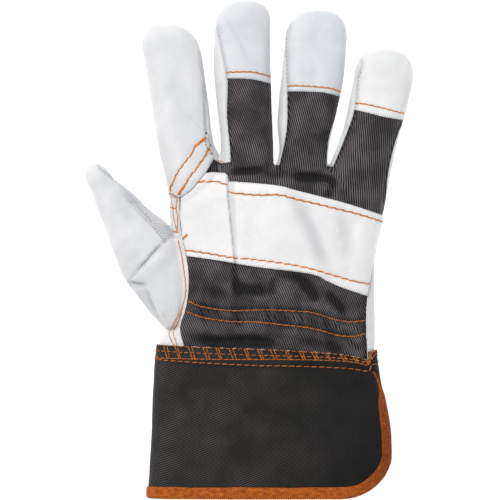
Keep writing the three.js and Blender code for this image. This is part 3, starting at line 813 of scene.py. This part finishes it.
def ribbed_tape(name):
    """Rust-orange binding tape: close cross ribs, worn and streaky, with painted shade darkening it towards its right
    side.
    """
    f = Finish(name)
    lines = f.threads()
    ribs = f.maths("MULTIPLY_ADD", f.split(lines)["X"], 10 / 0.95, f.times(f.speckle(6), 0.8))
    rib = f.ridges(ribs, "SINE")
    drawn = f.add("Mapping", {"Vector": lines, "Scale": (1.1, 5.0, 1.0), "Rotation": (0, 0, 0.25)}).outputs["Vector"]
    fibres = f.add("TexNoise", {"Vector": drawn, "Scale": 2.6, "Detail": 5.0, "Roughness": 0.65})
    f.mix(f.spread(fibres.outputs["Fac"], 0.34, 0.68), (0.235, 0.046, 0.005), (0.60, 0.145, 0.016))
    f.tint(f.times(rib, 0.35), (0.25, 0.055, 0.01))
    # Painted shade: darker towards +X, the side turned away from the key light.
    f.tint(f.spread(f.split(f.place)["X"], 0.052, 0.074, 0.0, 0.6), (0.085, 0.016, 0.001))
    f.tint(f.spread(f.speckle(1.2, 3), 0.62, 0.74, 0, 0.4), (0.8, 0.3, 0.1))
    f.bump(f.speckle(2.5, 3), 0.25)
    f.bump(rib, 0.12)
    return f.finished(roughness=0.85, specular_ior_level=0.12, sheen_weight=0.05)


def sewing_thread(name, light, dark):
    """Matt thread, with painted shade where a stitch goes into its hole."""
    f = Finish(name)
    f.mix(f.spread(f.speckle(1.6, 3), 0.35, 0.65), dark, light)
    # Painted shade at both ends of every stitch, where it goes into its hole.
    f.tint(f.spread(f.read("stitch_end"), 0.6, 0.95, 0.0, 0.9), tuple(c * 0.4 for c in dark))
    f.bump(f.speckle(0.35, 2), 0.08)
    return f.finished(roughness=0.6, sheen_weight=0.1)


# Copies of one pale leather with a different tone for each kind of panel: partly the leather's own tone, partly
# painted light and shade for how brightly each panel is lit.
STRAP_LEATHER = pale_leather("strap_leather", (0.80, 0.785, 0.775), (0.73, 0.72, 0.715), (0.74, 0.71, 0.67))
CAP_LEATHER = pale_leather("cap_leather", (0.65, 0.665, 0.685), (0.58, 0.595, 0.615), (0.66, 0.65, 0.62))
LITTLE_LEATHER = pale_leather("little_cap_leather", (0.765, 0.76, 0.755), (0.68, 0.68, 0.68), (0.72, 0.7, 0.66))
GRAIN_LEATHER = pale_leather("pale_grain_leather", (0.70, 0.698, 0.703), (0.625, 0.628, 0.636), (0.68, 0.66, 0.62))
BACK_TWILL = twill("back_twill", (0.0062, 0.0053, 0.0057), (0.192, 0.168, 0.18), 112, 1.13, 1.7, 1.3, 0.2, 12)
CUFF_TWILL = twill(
    "cuff_twill", (0.0062, 0.0056, 0.0050), (0.096, 0.087, 0.080), 23, 1.13, 1.6, 0.95, 0.16, 20, painted_right_shade=True,
)
RUST_TAPE = ribbed_tape("rust_tape")
ORANGE_THREAD = sewing_thread("orange_thread", (0.72, 0.245, 0.0), (0.47, 0.115, 0.0))
RUST_THREAD = sewing_thread("rust_thread", (0.56, 0.155, 0.002), (0.30, 0.070, 0.001))
DARK_THREAD = sewing_thread("dark_thread", (0.05, 0.045, 0.045), (0.02, 0.018, 0.018))
# Lighter than the leather round it: painted highlight on the pinched teeth of the thumb seam.
PINCHED_LEATHER = sewing_thread("pinched_leather", (0.78, 0.78, 0.78), (0.66, 0.665, 0.67))
PALE_THREAD = sewing_thread("pale_thread", (0.42, 0.41, 0.40), (0.26, 0.25, 0.245))

surfaces = {}


def piece(name, mesh, finish, node=None, wall=0.0):
    """A finished piece of the glove: its mesh in metres, its wall, its finish and its place in the frame."""
    if wall:
        surfaces[name] = surface_of(mesh)
    put_points(mesh, points_of(mesh) * MM)
    mesh.materials.clear()
    mesh.materials.append(finish)
    mesh.polygons.foreach_set("material_index", [0] * len(mesh.polygons))
    mesh.polygons.foreach_set("use_smooth", [True] * len(mesh.polygons))
    thing = placed(name, mesh)
    if wall:
        solidify = thing.modifiers.new("wall", "SOLIDIFY")
        solidify.thickness = wall * MM
        solidify.offset = -1
    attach(thing, "root")
    if node:
        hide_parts(node)


# Soft grey where a panel turns down out of the light: place in plan, size and amount.
SHADES = {
    "leather_thumb_front": [(-43, 9.5, 5.5, 0.9), (-51, 15.5, 5, 0.5)],
    "leather_palm": [(-47, 1, 2.2, 0.25)],
    "leather_knuckle_strap": [(-26, 16, 11, 0.14)],
    "twill_back": [(8, 82, 7, 0.35), (8.5, 66, 7, 0.35), (46, 76, 6.5, 0.35), (42, 60, 6.5, 0.35), (66, 69, 6, 0.2)],
}

# Weave of the back cloth: place in Y, and how far the threads have run by there. On a finger they run less: how far
# right the finger goes at its root and how fast that moves up its length, and its share of the run.
WEAVE_RUN = [(-140, -140), (4, 4), (18, 9), (46, 14), (60, 26), (75, 46), (140, 137)]
WEAVE_FINGERS = table(["right", "splay", "share"], [(200, 0, 0.16), (42, 0.27, 0.52), (14, 0, 0.77)])


def pleat(x, y):
    """Rise of the strap's pleat, and the shade beside and under its fold."""
    distance, _, side, _ = along(smooth(PLEAT), x, y)
    across = -distance * side
    over = np.where(across > -0.3, 1.1 * np.exp(-np.abs(across) / 9) * fade(across, -0.3, 0.4), 0)
    under = np.where(across <= 0, -0.8 * bell(-across - 0.4, 2.3), 0)
    reach = np.interp(y, [-8, 40], [1.6, 4.4])
    band = (across <= 0) * (1 - fade(-across, reach - 0.5, reach + 0.5))
    shade = 0.6 * band + 0.5 * np.where(across <= 0, bell(-across, 0.9), 0)
    return over + under + 0.3 * bell(across + 6.5, 2.4), shade


def panel(
    name, node, mesh, finish=GRAIN_LEATHER, slot="grain_leather", wall=LEATHER, lift=0.0, roll=0.45, rows=(),
    pleated=False, cloth=False,
):
    """A sewn panel from a cut of the skin: lifted to its level, its edge rolled, its stitches pulled down."""
    sheet = sheet_of(mesh)
    co, normals = points_of(sheet), normals_of(sheet)
    x, y, z = co.T
    edge = border_distance(sheet)
    # Painted shade: darker in folds and seams, in the SHADES spots, and beside the strap's pleat.
    depth = fold_depth(co, normals)
    move = lift - roll * bell(edge, 0.9) - channel(rows, x, y)
    if lift > 1:
        move *= 0.25 + 0.75 * fade(normals[:, 2], 0, 0.5) * fade(x, -44, -36)
    for px, py, size, amount in SHADES.get(name, ()):
        depth = np.clip(depth + amount * bell(np.hypot(x - px, y - py), size), 0, 1)
    if pleated:
        rise, shade = pleat(x, y)
        move += rise
        depth = np.clip(depth + shade, 0, 1)
    store(sheet, "fold_depth", depth)
    store(sheet, "edge_distance", edge)
    if cloth:
        lean, root = (np.interp(at, *zip(*WEAVE_RUN)) for at in (y, np.minimum(y, 46)))
        share = np.ones(len(x))
        for row in WEAVE_FINGERS:
            share = np.where(x < row["right"] + row["splay"] * (y - 44), row["share"], share)
        lean = root + (lean - root) * share
        lay_threads(sheet, x + normals[:, 0] * (24 - z) * 0.08, lean + normals[:, 1] * 0.7)
    # A border moves straight down or up, so that neighbours still meet in plan.
    free = np.stack([1 - bell(edge, 1.1)] * 2 + [np.ones(len(x))], 1)
    put_points(sheet, co + normals * move[:, None] * free)
    piece(name, sheet, finish, node, wall)


FAR = 150


def cap_part(name):
    corner = CAP_EDGE[name][0]
    return [corner] + [p for p in listed(CAP_EDGE[name], 20) if p[0] > corner[0] + 1]


def tip_outline(name, right):
    seam = CURVES[name]
    return between(seam, CAP_EDGE[name][0][1] + 1, FAR) + cap_part(name) + [(right, FAR), (seam[0][0], FAR)]


def cloth_finger(name, right):
    return cap_part(name)[::-1] + between(CURVES[name], 0, CAP_EDGE[name][0][1] - 1) + right


PANELS = [
    ("leather_index_back", "index_back", BACK_SEAM, [
        [(-64, FAR), (-22, FAR)]
        + between(CURVES["index"], 56, FAR)
        + CURVES["patch_middle"]
        + [(-64, 26)],
    ]),
    ("leather_cap_middle", "tip_middle", BACK_SEAM, [tip_outline("middle", 14.4)]),
    ("leather_cap_ring", "tip_ring", BACK_SEAM, [tip_outline("ring", 54)]),
    ("leather_cap_little", "tip_little", BACK_SEAM, [tip_outline("little", 94)]),
    ("twill_back", "back_cloth", BACK_SEAM, [
        cloth_finger("middle", [(13, 30), (13.2, 44), (12.6, 56), (14, 72)]),
        cloth_finger("ring", [(41.2, 30)] + CURVES["ring_outer"][::-1]),
        cloth_finger("little", [(44, 30), (72, 30)] + between(CURVES["cloth_side"], 31, 68)[::-1]),
        between(CURVES["middle"], 40, 50)
        + CLOTH_CORNER
        + [p for p in CURVES["patch_middle"] if -38 < p[0] < -25]
        + CURVES["cloth_thumb_side"]
        + between(CURVES["cloth_side"], -70, 43)[::-1]
        + [(44, 45.4), (13, 46.2), (12.8, 42)],
    ]),
    ("leather_side_welt", "side_welt", BACK_SEAM, [WELT]),
    ("leather_thumb_back", "thumb_back", UNDER, [
        CURVES["thumb"]
        + between(CURVES["thumb_root"], -FAR, 3)
        + [(-100, -19.4), (-100, 56), (-86, 56)],
    ]),
    ("leather_thumb_front", "thumb_front", UNDER, [
        CURVES["thumb"]
        + [(-43.2, 6.4), (-40.7, 7), (-42.4, 13.2), (-47.4, 20), (-57, 40), (-76, 56)],
    ]),
    ("leather_fourchette_index_middle", "fourchette_index_middle", PALM_SEAM, [
        CURVES["index"] + [(-18.4, 47.6), (-14, 46.4)] + CURVES["middle"][::-1],
    ]),
    ("leather_fourchette_middle_ring", "fourchette_middle_ring", PALM_SEAM, [
        [(6.5, 116), (8, 60), (9, 44), (12, 39.6)] + CURVES["ring"][::-1],
    ]),
    ("leather_fourchette_ring_little", "fourchette_ring_little", PALM_SEAM, [
        [(47.5, 112), (44, 84), (39, 60), (38.4, 46), (42.6, 41)] + CURVES["little"][::-1],
    ]),
]
# How some panels differ from a plain leather one.
WAYS = {
    "leather_cap_middle": dict(finish=CAP_LEATHER, rows=CAP_ROWS["middle"]),
    "leather_cap_ring": dict(finish=CAP_LEATHER, rows=CAP_ROWS["ring"]),
    "leather_cap_little": dict(finish=LITTLE_LEATHER, rows=CAP_ROWS["little"]),
    "leather_side_welt": dict(rows=WELT_ROWS),
    "twill_back": dict(
        finish=BACK_TWILL, slot="back_twill", wall=CLOTH, lift=-CLOTH_SINK, roll=0.15, rows=ELASTIC_ROWS, cloth=True,
    ),
}

wrist_end = prism([(-120, -60), (120, -60), (120, -160), (-120, -160)])
skin = folded_skin(FINE, 4)
rest, palm_rest = (carve(whole, wrist_end, "DIFFERENCE") for whole in (skin, folded_skin(COARSE, 2)))
for name, node, low, outlines in PANELS:
    blade = marked(joined(prism(outline, low) for outline in outlines), 1)
    cut = carve(rest, blade, "INTERSECT")
    rest, palm_rest = (carve(whole, blade, "DIFFERENCE") for whole in (rest, palm_rest))
    panel(name, node, cut, **WAYS.get(name, {}))
panel("leather_palm", "palm_leather", palm_rest, rows=WEB_ROWS)

strap_outline = STRAP_LEFT + STRAP_PLEAT + CURVES["strap_top"] + [(69, 4.8), (66.5, -6.8)] + CURVES["strap_foot"]
strap_blade = prism(strap_outline, BACK_SEAM)
panel(
    "leather_knuckle_strap", "knuckle_strap", carve(skin, strap_blade, "INTERSECT"), STRAP_LEATHER, wall=OVERLAY,
    lift=GAP_OVER + OVERLAY - CLOTH_SINK, roll=0.35, rows=STRAP_ROWS, pleated=True,
)
patch_blade = prism(CURVES["patch_upper"] + CURVES["patch_lower"][::-1], BACK_SEAM + 1)
patch_cut = carve(carve(skin, patch_blade, "INTERSECT"), strap_blade, "DIFFERENCE")
panel("leather_index_patch", "index_patch", patch_cut, wall=OVERLAY, lift=PATCH_RISE, roll=0.35, rows=PATCH_ROWS)


def cuff_tube():
    """The cuff's tube, softly uneven and drawn in along its lowest row of thread."""
    mesh = limb(CUFF, around=300, rings=110)
    co, normals = points_of(mesh), normals_of(mesh)
    x, y, z = co.T
    lift = 0.5 * (1 - fade(y, -130, -60)) * wave(x, 46) + 0.45 * clouds(co, 24, 5) + 0.12 * clouds(co, 8, 6)
    lift -= 0.5 * bell(along(smooth(CUFF_DASH), x, y)[0], 1.6) * fade(normals[:, 2], 0, 0.4)
    put_points(mesh, co + normals * (lift * (z > 1))[:, None])
    return mesh


def cuff_room(inset):
    """What is left of the cuff's tube when its foot, round corner and side opening are cut."""
    corner = CUFF_CORNER
    outline = [(-110, 0), (-110, CUFF_FOOT + inset)]
    for a in np.linspace(math.pi / 2, 0, 25):
        wide, deep = (corner["width"] - inset) * math.cos(a), (corner["depth"] - inset) * math.sin(a)
        outline.append((corner["x"] + wide, corner["y"] - deep))
    outline += [(SLIT["outer"], corner["y"]), (SLIT["outer"], 0)]
    top, knee, foot = SLIT["y"] + inset, SLIT["knee"], CUFF_FOOT - 12
    height, start = SLIT["height"], SLIT["height"] + SLIT["rise"]
    wide = SLIT["foot_width"] / 2 + inset
    slim = inset + SLIT["foot_width"] / 2 * (knee - SLIT["y"]) / (foot - SLIT["y"])
    side_view = [
        (top, start - 0.25), (top, start + 0.25), (knee, height + slim),
        (foot, height + wide), (foot, height - wide), (knee, height - slim),
    ]
    wedge = slab([(SLIT["inner"], y, z) for y, z in side_view], (SLIT["outer"] - SLIT["inner"], 0, 0))
    return marked(carve(prism(outline), wedge, "DIFFERENCE"), 1)


def loops_of_border(mesh):
    """Every closed border of an open sheet as a line of points."""
    loops = []
    with shaping(mesh) as bm:
        edges = {e for e in bm.edges if len(e.link_faces) == 1}
        while edges:
            edge = edges.pop()
            start, at = edge.verts
            loop = [start.co[:]]
            while at != start:
                loop.append(at.co[:])
                step = next((e for e in at.link_edges if e in edges), None)
                if step is None:
                    break
                edges.remove(step)
                at = step.other_vert(at)
            loop = np.array(loop)
            # The same in each run: it goes right over the upper side and starts just past its leftmost point.
            if np.diff(loop[:, 0])[loop[1:, 2] > 16].sum() < 0:
                loop = loop[::-1]
            loops.append(np.roll(loop, -np.argmin(loop[:, 0] + 0.01 * loop[:, 2]) - 1, 0))
    return loops


def evened(loop, step, rounds):
    """A closed loop with even steps, its jags rubbed off."""
    ring = np.vstack([loop, loop[:1]])
    run = run_along(ring)
    count = int(run[-1] / step)
    return rubbed(at_run(ring, run, np.arange(count) * run[-1] / count).T, rounds)


# The tape's cross-section: distance in from the cuff's edge, and height over the cuff's outer face.
TAPE_SECTION = [
    (5.5, 0.02), (5.4, 0.5), (5.0, 0.72), (3.6, 0.78), (2.0, 0.8), (0.6, 0.8), (-0.3, 0.6), (-0.9, 0.0),
    (-1.15, -0.9), (-0.9, -1.8), (-0.3, -2.4), (0.6, -2.6), (2.0, -2.6), (3.6, -2.58), (5.0, -2.5), (5.4, -2.3),
    (5.5, -1.82), (3.0, -1.82), (0.2, -1.82), (0.2, 0.02), (3.0, 0.02),
]
TAPE_STEP = 0.36
TAPE_RIB = 1.15
CUFF_MIDDLE = (10, -90, 15)
# How wide the tape looks from above: place in Y, and width.
TAPE_SEEN = [(-134, 5.3), (-104, 5.2), (-92, 4.9), (-85, 4.3), (-78, 3.0), (-74, 1.4), (-71, 0.9), (-66, 0.4)]


def binding(edge_loop, tube):
    """The tape, swept round the cuff's free edge and pressed on to its two faces."""
    path = evened(edge_loop, TAPE_STEP, 30)
    surface = surface_of(tube)
    count, sides = len(path), len(TAPE_SECTION)
    normals = unit(rubbed(np.array([surface.find_nearest(p)[1][:] for p in path]), 20))
    inward = unit(np.cross(normals, unit(np.roll(path, -3, 0) - np.roll(path, 3, 0))))
    if np.mean((inward * (np.array(CUFF_MIDDLE) - path)).sum(1)) < 0:
        inward = -inward
    run = np.arange(count) * TAPE_STEP
    rib = 0.1 * wave(run, TAPE_RIB)
    uneven = 0.12 * np.sin(run / 7.3) + 0.08 * np.sin(run / 2.9 + 1)
    wanted = np.interp(path[:, 1], *zip(*TAPE_SEEN))
    flat = np.array([surface.find_nearest(p)[0][:2] for p in path + inward * TAPE_SECTION[0][0]])
    reach = rubbed(np.clip(wanted / np.maximum(np.linalg.norm(flat - path[:, :2], axis=1), 0.6), 0.1, 1.7), 120)
    near_top = fade(path[:, 1], -80, -74)
    lower_lip = fade(-inward[:, 2], 0.1, 0.5)
    reach *= 1 - 0.92 * near_top * lower_lip
    full = 1 - near_top * (0.65 + 0.3 * lower_lip)
    mesh = bpy.data.meshes.new("tape")
    lines = []
    with shaping(mesh) as bm:
        bmesh.ops.create_grid(bm, x_segments=count, y_segments=sides, size=0.5)
        for vert in bm.verts:
            i, j = round((vert.co.x + 0.5) * count), round((vert.co.y + 0.5) * sides)
            lines.append((i * TAPE_STEP, j * 0.6))
            i, j = i % count, j % sides
            back, rise = TAPE_SECTION[j]
            back = (back + uneven[i] * max(back - 2, 0) / 3) * (reach[i] if back > 0 else full[i])
            rise *= full[i] if rise > 0 else 1
            base, out = path[i] + inward[i] * back, normals[i]
            if back > 0:
                base, facing = (np.array(v) for v in surface.find_nearest(base - normals[i] * 0.2)[:2])
                out = facing if facing @ out > 0 else out
            swell = rib[i] * (1 if rise > 0.3 else -1 if rise < -2.2 else 0)
            vert.co = base + out * (rise + swell) - (inward[i] * rib[i] * 0.8 if back < -0.5 else 0)
    lay_threads(mesh, *np.array(lines).T)
    with shaping(mesh) as bm:
        bmesh.ops.remove_doubles(bm, verts=bm.verts, dist=0.01)
        bmesh.ops.recalc_face_normals(bm, faces=bm.faces)
    return mesh


def unrolled(co, middle=13.5):
    """Cuff cloth laid out flat: from the thumb-side fold, over the back and under the palm side."""
    x, y, z = co.T
    fold = 1 - fade(x, -52, -40)
    return np.where(z > middle, 1, -1) * (x + 54 + np.abs(z - middle) * 0.2 * fold), y


tube = cuff_tube()
below_top = prism(listed(CUFF_TOP, 100) + [(-110, -50), (-110, -150), (110, -150)])
cuff_sheet = sheet_of(carve(carve(tube, cuff_room(TAPE_LIP), "INTERSECT"), below_top, "INTERSECT"))
free_edge, *_, top_edge = sorted(loops_of_border(cuff_sheet), key=lambda loop: loop[:, 1].min())
edge = border_distance(cuff_sheet)
co = points_of(cuff_sheet) - normals_of(cuff_sheet) * (0.25 * bell(edge, 0.7))[:, None]
put_points(cuff_sheet, co)
dash = along(smooth(CUFF_DASH), co[:, 0], co[:, 1])[0]
# Painted shade along the drawn-in dashed row and along the cuff's edges.
store(cuff_sheet, "fold_depth", 0.5 * bell(dash, 1.0) + 0.5 * bell(edge, 1.2))
store(cuff_sheet, "edge_distance", edge)
lay_threads(cuff_sheet, *unrolled(co))
piece("twill_cuff", cuff_sheet, CUFF_TWILL, "cuff", CUFF_WALL)
piece("tape_cuff_binding", binding(free_edge, tube), RUST_TAPE, "cuff_binding")


def laid(path, surface, step=0.4):
    """A plan path as points lying on a piece."""
    curve = smooth(path, 80) if len(path) > 2 else np.array(path, float)
    run = run_along(curve)
    places = np.linspace(0, run[-1], max(3, int(run[-1] / step)))
    hits = [surfaces[surface].ray_cast((*at_run(curve, run, at), SKY), (0, 0, -1))[0] for at in places]
    return np.array([hit[:] for hit in hits if hit is not None])


def stitches(points, surface, pitch, fill, gauge, slant=7.0):
    """The stitches of a row of points: middle, three directions, half length and half gauge."""
    if len(points) < 2:
        return []
    run = run_along(points)
    count = max(1, round(run[-1] / pitch))
    step = run[-1] / count
    cosine, sine = math.cos(math.radians(slant)), math.sin(math.radians(slant))
    frames = []
    for k in range(count):
        a, middle, b = (Vector(at_run(points, run, (k + 0.5 + share * fill / 2) * step)) for share in (-1, 0, 1))
        up = surfaces[surface].find_nearest(middle)[1]
        forward = (b - a).normalized()
        side = up.cross(forward).normalized()
        up = forward.cross(side)
        forward, side = forward * cosine + side * sine, side * cosine - forward * sine
        frames.append((middle + up * gauge * 0.2, forward, side, up, (b - a).length / 2, gauge / 2))
    return frames


def sewn(surface, path, pitch, fill, gauge, slant=7.0):
    return stitches(laid(path, surface), surface, pitch, fill, gauge, slant)


def all_sewn(surface, rows, slant=7.0):
    return [frame for row in rows for frame in sewn(surface, *row, slant)]


def tack(surface, start, end, width, turns, gauge):
    """A bar tack: thread wound to and fro over a short line."""
    a, b = np.array(start, float), np.array(end, float)
    side = np.array([a[1] - b[1], b[0] - a[0]]) / np.linalg.norm(b - a) * width / 2
    frames = []
    for k in range(turns):
        sway = side * (-1) ** k
        ends = [tuple(a + (b - a) * k / turns + sway), tuple(a + (b - a) * (k + 1) / turns - sway)]
        frames += stitches(laid(ends, surface, 0.3), surface, FAR, 1.0, gauge, 0)
    return frames


def fringe(surface, path, pitch, length, gauge, seed):
    """Loose fibres that stick out across a raw edge."""
    frames = []
    for k, (middle, forward, side, up, _, half) in enumerate(sewn(surface, path, pitch, 1.0, gauge, 0)):
        chance = [noise.noise(Vector((k * 1.7, seed * 9.1, c * 5.3))) for c in range(3)]
        turn = math.radians(90 + 110 * chance[0])
        fibre = forward * math.cos(turn) + side * math.sin(turn)
        reach = length * (0.6 + 1.2 * abs(chance[1]))
        frames.append((middle + side * chance[2] * 0.5, fibre, up.cross(fibre), up, reach / 2, half))
    return frames


ball = bpy.data.meshes.new("ball")
with shaping(ball) as bm:
    bmesh.ops.create_uvsphere(bm, u_segments=6, v_segments=6, radius=1)
ball_x, ball_y, ball_z = points_of(ball).T
thin = np.sqrt(np.clip(1 - ball_z**2, 0, 1))
full = np.where(thin > 0.05, np.minimum(1, 1.3 * thin) / np.maximum(thin, 0.05), 1)


def thread_piece(name, frames, finish=ORANGE_THREAD):
    """Stitches as one piece; every stitch is a small spindle whose ends dip into the sheet."""
    mesh = bpy.data.meshes.new(name)
    with shaping(mesh) as bm:
        for centre, forward, side, up, half, thick in frames:
            steps = (ball_z * half, ball_x * full * thick, ball_y * full * thick - ball_z**4 * thick * 0.5)
            offsets = sum(np.outer(step, way) for step, way in zip(steps, (forward, side, up)))
            put_points(ball, offsets + np.array(centre))
            bm.from_mesh(ball)
    store(mesh, "stitch_end", np.tile(np.abs(ball_z), len(frames)))
    piece(name, mesh, finish)


thread_piece("thread_strap", all_sewn("leather_knuckle_strap", STRAP_ROWS))
thread_piece("thread_patch", all_sewn("leather_index_patch", PATCH_ROWS))
thread_piece("thread_caps", [f for name, rows in CAP_ROWS.items() for f in all_sewn("leather_cap_" + name, rows)])
thread_piece("thread_elastic", all_sewn("twill_back", ELASTIC_ROWS, 5), RUST_THREAD)
thread_piece(
    "thread_web",
    all_sewn("leather_palm", WEB_ROWS, 3) + all_sewn("leather_side_welt", WELT_ROWS, 3)
    + all_sewn("leather_fourchette_index_middle", CROTCH_ROWS, 20)
    + all_sewn("leather_index_patch", PATCH_END_ROWS, 15),
)
thread_piece("thread_tacks", [frame for row in TACKS for frame in tack(*row)])

holes = []
for row in HOLE_ROWS:
    path = [(x + row["inset"], y) for x, y in between(CURVES[row["seam"]], row["low"], row["high"])]
    holes += sewn("leather_cap_" + row["seam"], path, 2.6, 0.3, 0.34, 25)
holes += sewn("leather_index_back", [(-24, 63.5), (-22.8, 62.8)], 9, 1.0, 1.0, 0)
thread_piece("thread_seams", holes, DARK_THREAD)

# The lower half of the thumb's seam ends in a row of small leather teeth, given a lighter finish as a painted
# highlight.
teeth = [(x + 0.3, y + 0.2) for x, y in CURVES["thumb"] if 5.5 < y < 21]
pinches = sewn("leather_thumb_front", teeth, 1.7, 0.8, 1.1, 65)
thread_piece("thumb_seam_pinches", pinches, PINCHED_LEATHER)

# Dark fibres across the raw edges of the caps and the strap: partly loose cloth fibres, partly a painted shadow line
# along each edge.
fibres = []
for seed, name in enumerate(CAP_EDGE):
    fibres += fringe("leather_cap_" + name, [(x + 0.2, y + 0.35) for x, y in CAP_EDGE[name]], 1.2, 0.6, 0.2, seed)
fibres += fringe("leather_knuckle_strap", [(x, y + 0.4) for x, y in SEAM["strap_foot"][:-1]], 1.1, 0.7, 0.2, 5)
fibres += fringe("leather_knuckle_strap", [(x, y - 0.3) for x, y in SEAM["strap_top"]], 1.8, 0.5, 0.2, 6)
thread_piece("loose_fibres", fibres, DARK_THREAD)

# Rows round the cuff's top. Their depth below the edge is a share of the deepest row's, given at three places in X.
ROW_PLACES = [-50, 10, 64]
EDGE_ROWS = table(["left", "middle", "right", "pitch", "fill", "gauge"], [
    (0.03, 0.03, 0.03, 3.2, 0.85, 0.5),
    (0.42, 0.37, 0.27, 3.3, 0.8, 0.58),
    (0.88, 0.61, 0.46, 3.2, 1.1, 0.54),
    (1.0, 1.0, 1.0, 4.0, 0.94, 0.58),
])
# The deepest row: place in X, and depth below the edge.
DEEPEST_ROW = [(-50, 8.2), (-20, 8.6), (5, 8.9), (22, 8.3), (45, 7.6), (64, 6.4)]
# Pairs of upright bars between the rows.
BAR_PITCH = 7.4
BAR_APART = 1.7
BAR_LEAN = 2.4
# Loose loops of thread at the top of the cuff's opening.
SLIT_LOOPS = [
    [(65.2, -58.4), (65.4, -56), (67, -54.6), (67.8, -55.3), (66.4, -57), (65.4, -59)],
    [(65.8, -61.6), (68, -61.1)],
    [(64.6, -55), (66.4, -54.2), (68, -53.8)],
]

edge_line = evened(top_edge, 0.5, 6)
edge_line = np.vstack([edge_line, edge_line[:1]])
edge_run = run_along(edge_line)


def below_edge(at, row, part=1.0):
    """The point of the cuff at a run along its top edge, as deep below it as a row or as part of that."""
    x, y, z = at_run(edge_line, edge_run, at % edge_run[-1])
    share = np.interp(x, ROW_PLACES, [row["left"], row["middle"], row["right"]])
    drop = part * share * np.interp(x, *zip(*DEEPEST_ROW))
    return surfaces["twill_cuff"].find_nearest((x, y - drop, z))[0][:]


def on_cuff(points, pitch, fill, gauge):
    return stitches(np.array(list(points)), "twill_cuff", pitch, fill, gauge, 4)


edge_frames = []
runs = np.arange(0, edge_run[-1], 1.0)
for row in EDGE_ROWS:
    edge_frames += on_cuff((below_edge(at, row) for at in runs), row["pitch"], row["fill"], row["gauge"])
for k in range(int(edge_run[-1] / BAR_PITCH)):
    for second in (0, 1):
        at = k * BAR_PITCH + second * (BAR_APART + 0.4 * math.sin(k * 2.3)) + 0.4 * math.sin(k * 1.9)
        lean = BAR_LEAN - second * (0.5 + 0.4 * math.sin(k * 3.1))
        edge_frames += on_cuff((below_edge(at + lean * t, EDGE_ROWS[2], 0.04 + t) for t in (0, 0.5, 1)), 3.2, 1.2, 0.5)
edge_frames = [frame for frame in edge_frames if frame[0].x < 65 or frame[0].z < 14]
for loop in SLIT_LOOPS:
    edge_frames += on_cuff(laid(loop, "twill_cuff"), 2.0, 1.2, 0.5)
thread_piece("thread_cuff", edge_frames, RUST_THREAD)
pale_frames = on_cuff((below_edge(at, EDGE_ROWS[0], 0.0) for at in runs), 7.2, 0.35, 0.4)
thread_piece("thread_cuff_pale", pale_frames, PALE_THREAD)


def floor():
    mesh = bpy.data.meshes.new("floor")
    with shaping(mesh) as bm:
        bmesh.ops.create_grid(bm, x_segments=1, y_segments=1, size=4)
        bmesh.ops.translate(bm, verts=bm.verts, vec=(0, 0, -0.0002))
    pale = Finish("pale_floor")
    mesh.materials.append(pale.finished(
        base_color=(0.93, 0.93, 0.93), roughness=0.9, specular_ior_level=0.1, emission_color=(1, 1, 1),
        emission_strength=0.6,
    ))
    placed("floor", mesh)


def lamp(name, place, size, watts, colour):
    data = bpy.data.lights.new(name, "AREA")
    data.energy = watts
    data.size = size
    data.color = colour
    thing = placed(name, data)
    thing.location = place
    thing.rotation_mode = "QUATERNION"
    thing.rotation_quaternion = (-Vector(place)).to_track_quat("-Z", "Y")


def studio():
    floor()
    lamp("key_light", (-1.5, 1.5, 2.4), 1.3, 78.0, (1.0, 0.99, 0.98))
    lamp("fill_light", (1.7, -0.5, 1.9), 2.0, 22.0, (0.96, 0.98, 1.0))
    world = bpy.data.worlds.new("soft_room")
    world.use_nodes = True
    sky = world.node_tree.nodes["Background"].inputs
    sky["Color"].default_value = (0.95, 0.97, 1.0, 1)
    sky["Strength"].default_value = 0.42
    bpy.context.scene.world = world
    bpy.context.scene.view_settings.view_transform = "Standard"


def camera(distance=3.0, level=0.010, film=36, span=0.270):
    """Straight above on a long lens, so that the picture spans the glove's length."""
    data = bpy.data.cameras.new("photo_camera")
    data.sensor_width = film
    data.lens = film * distance / span
    data.clip_end = 20
    thing = placed("photo_camera", data)
    thing.location = (0, 0.00027, distance + level)
    bpy.context.scene.camera = thing


studio()
camera()
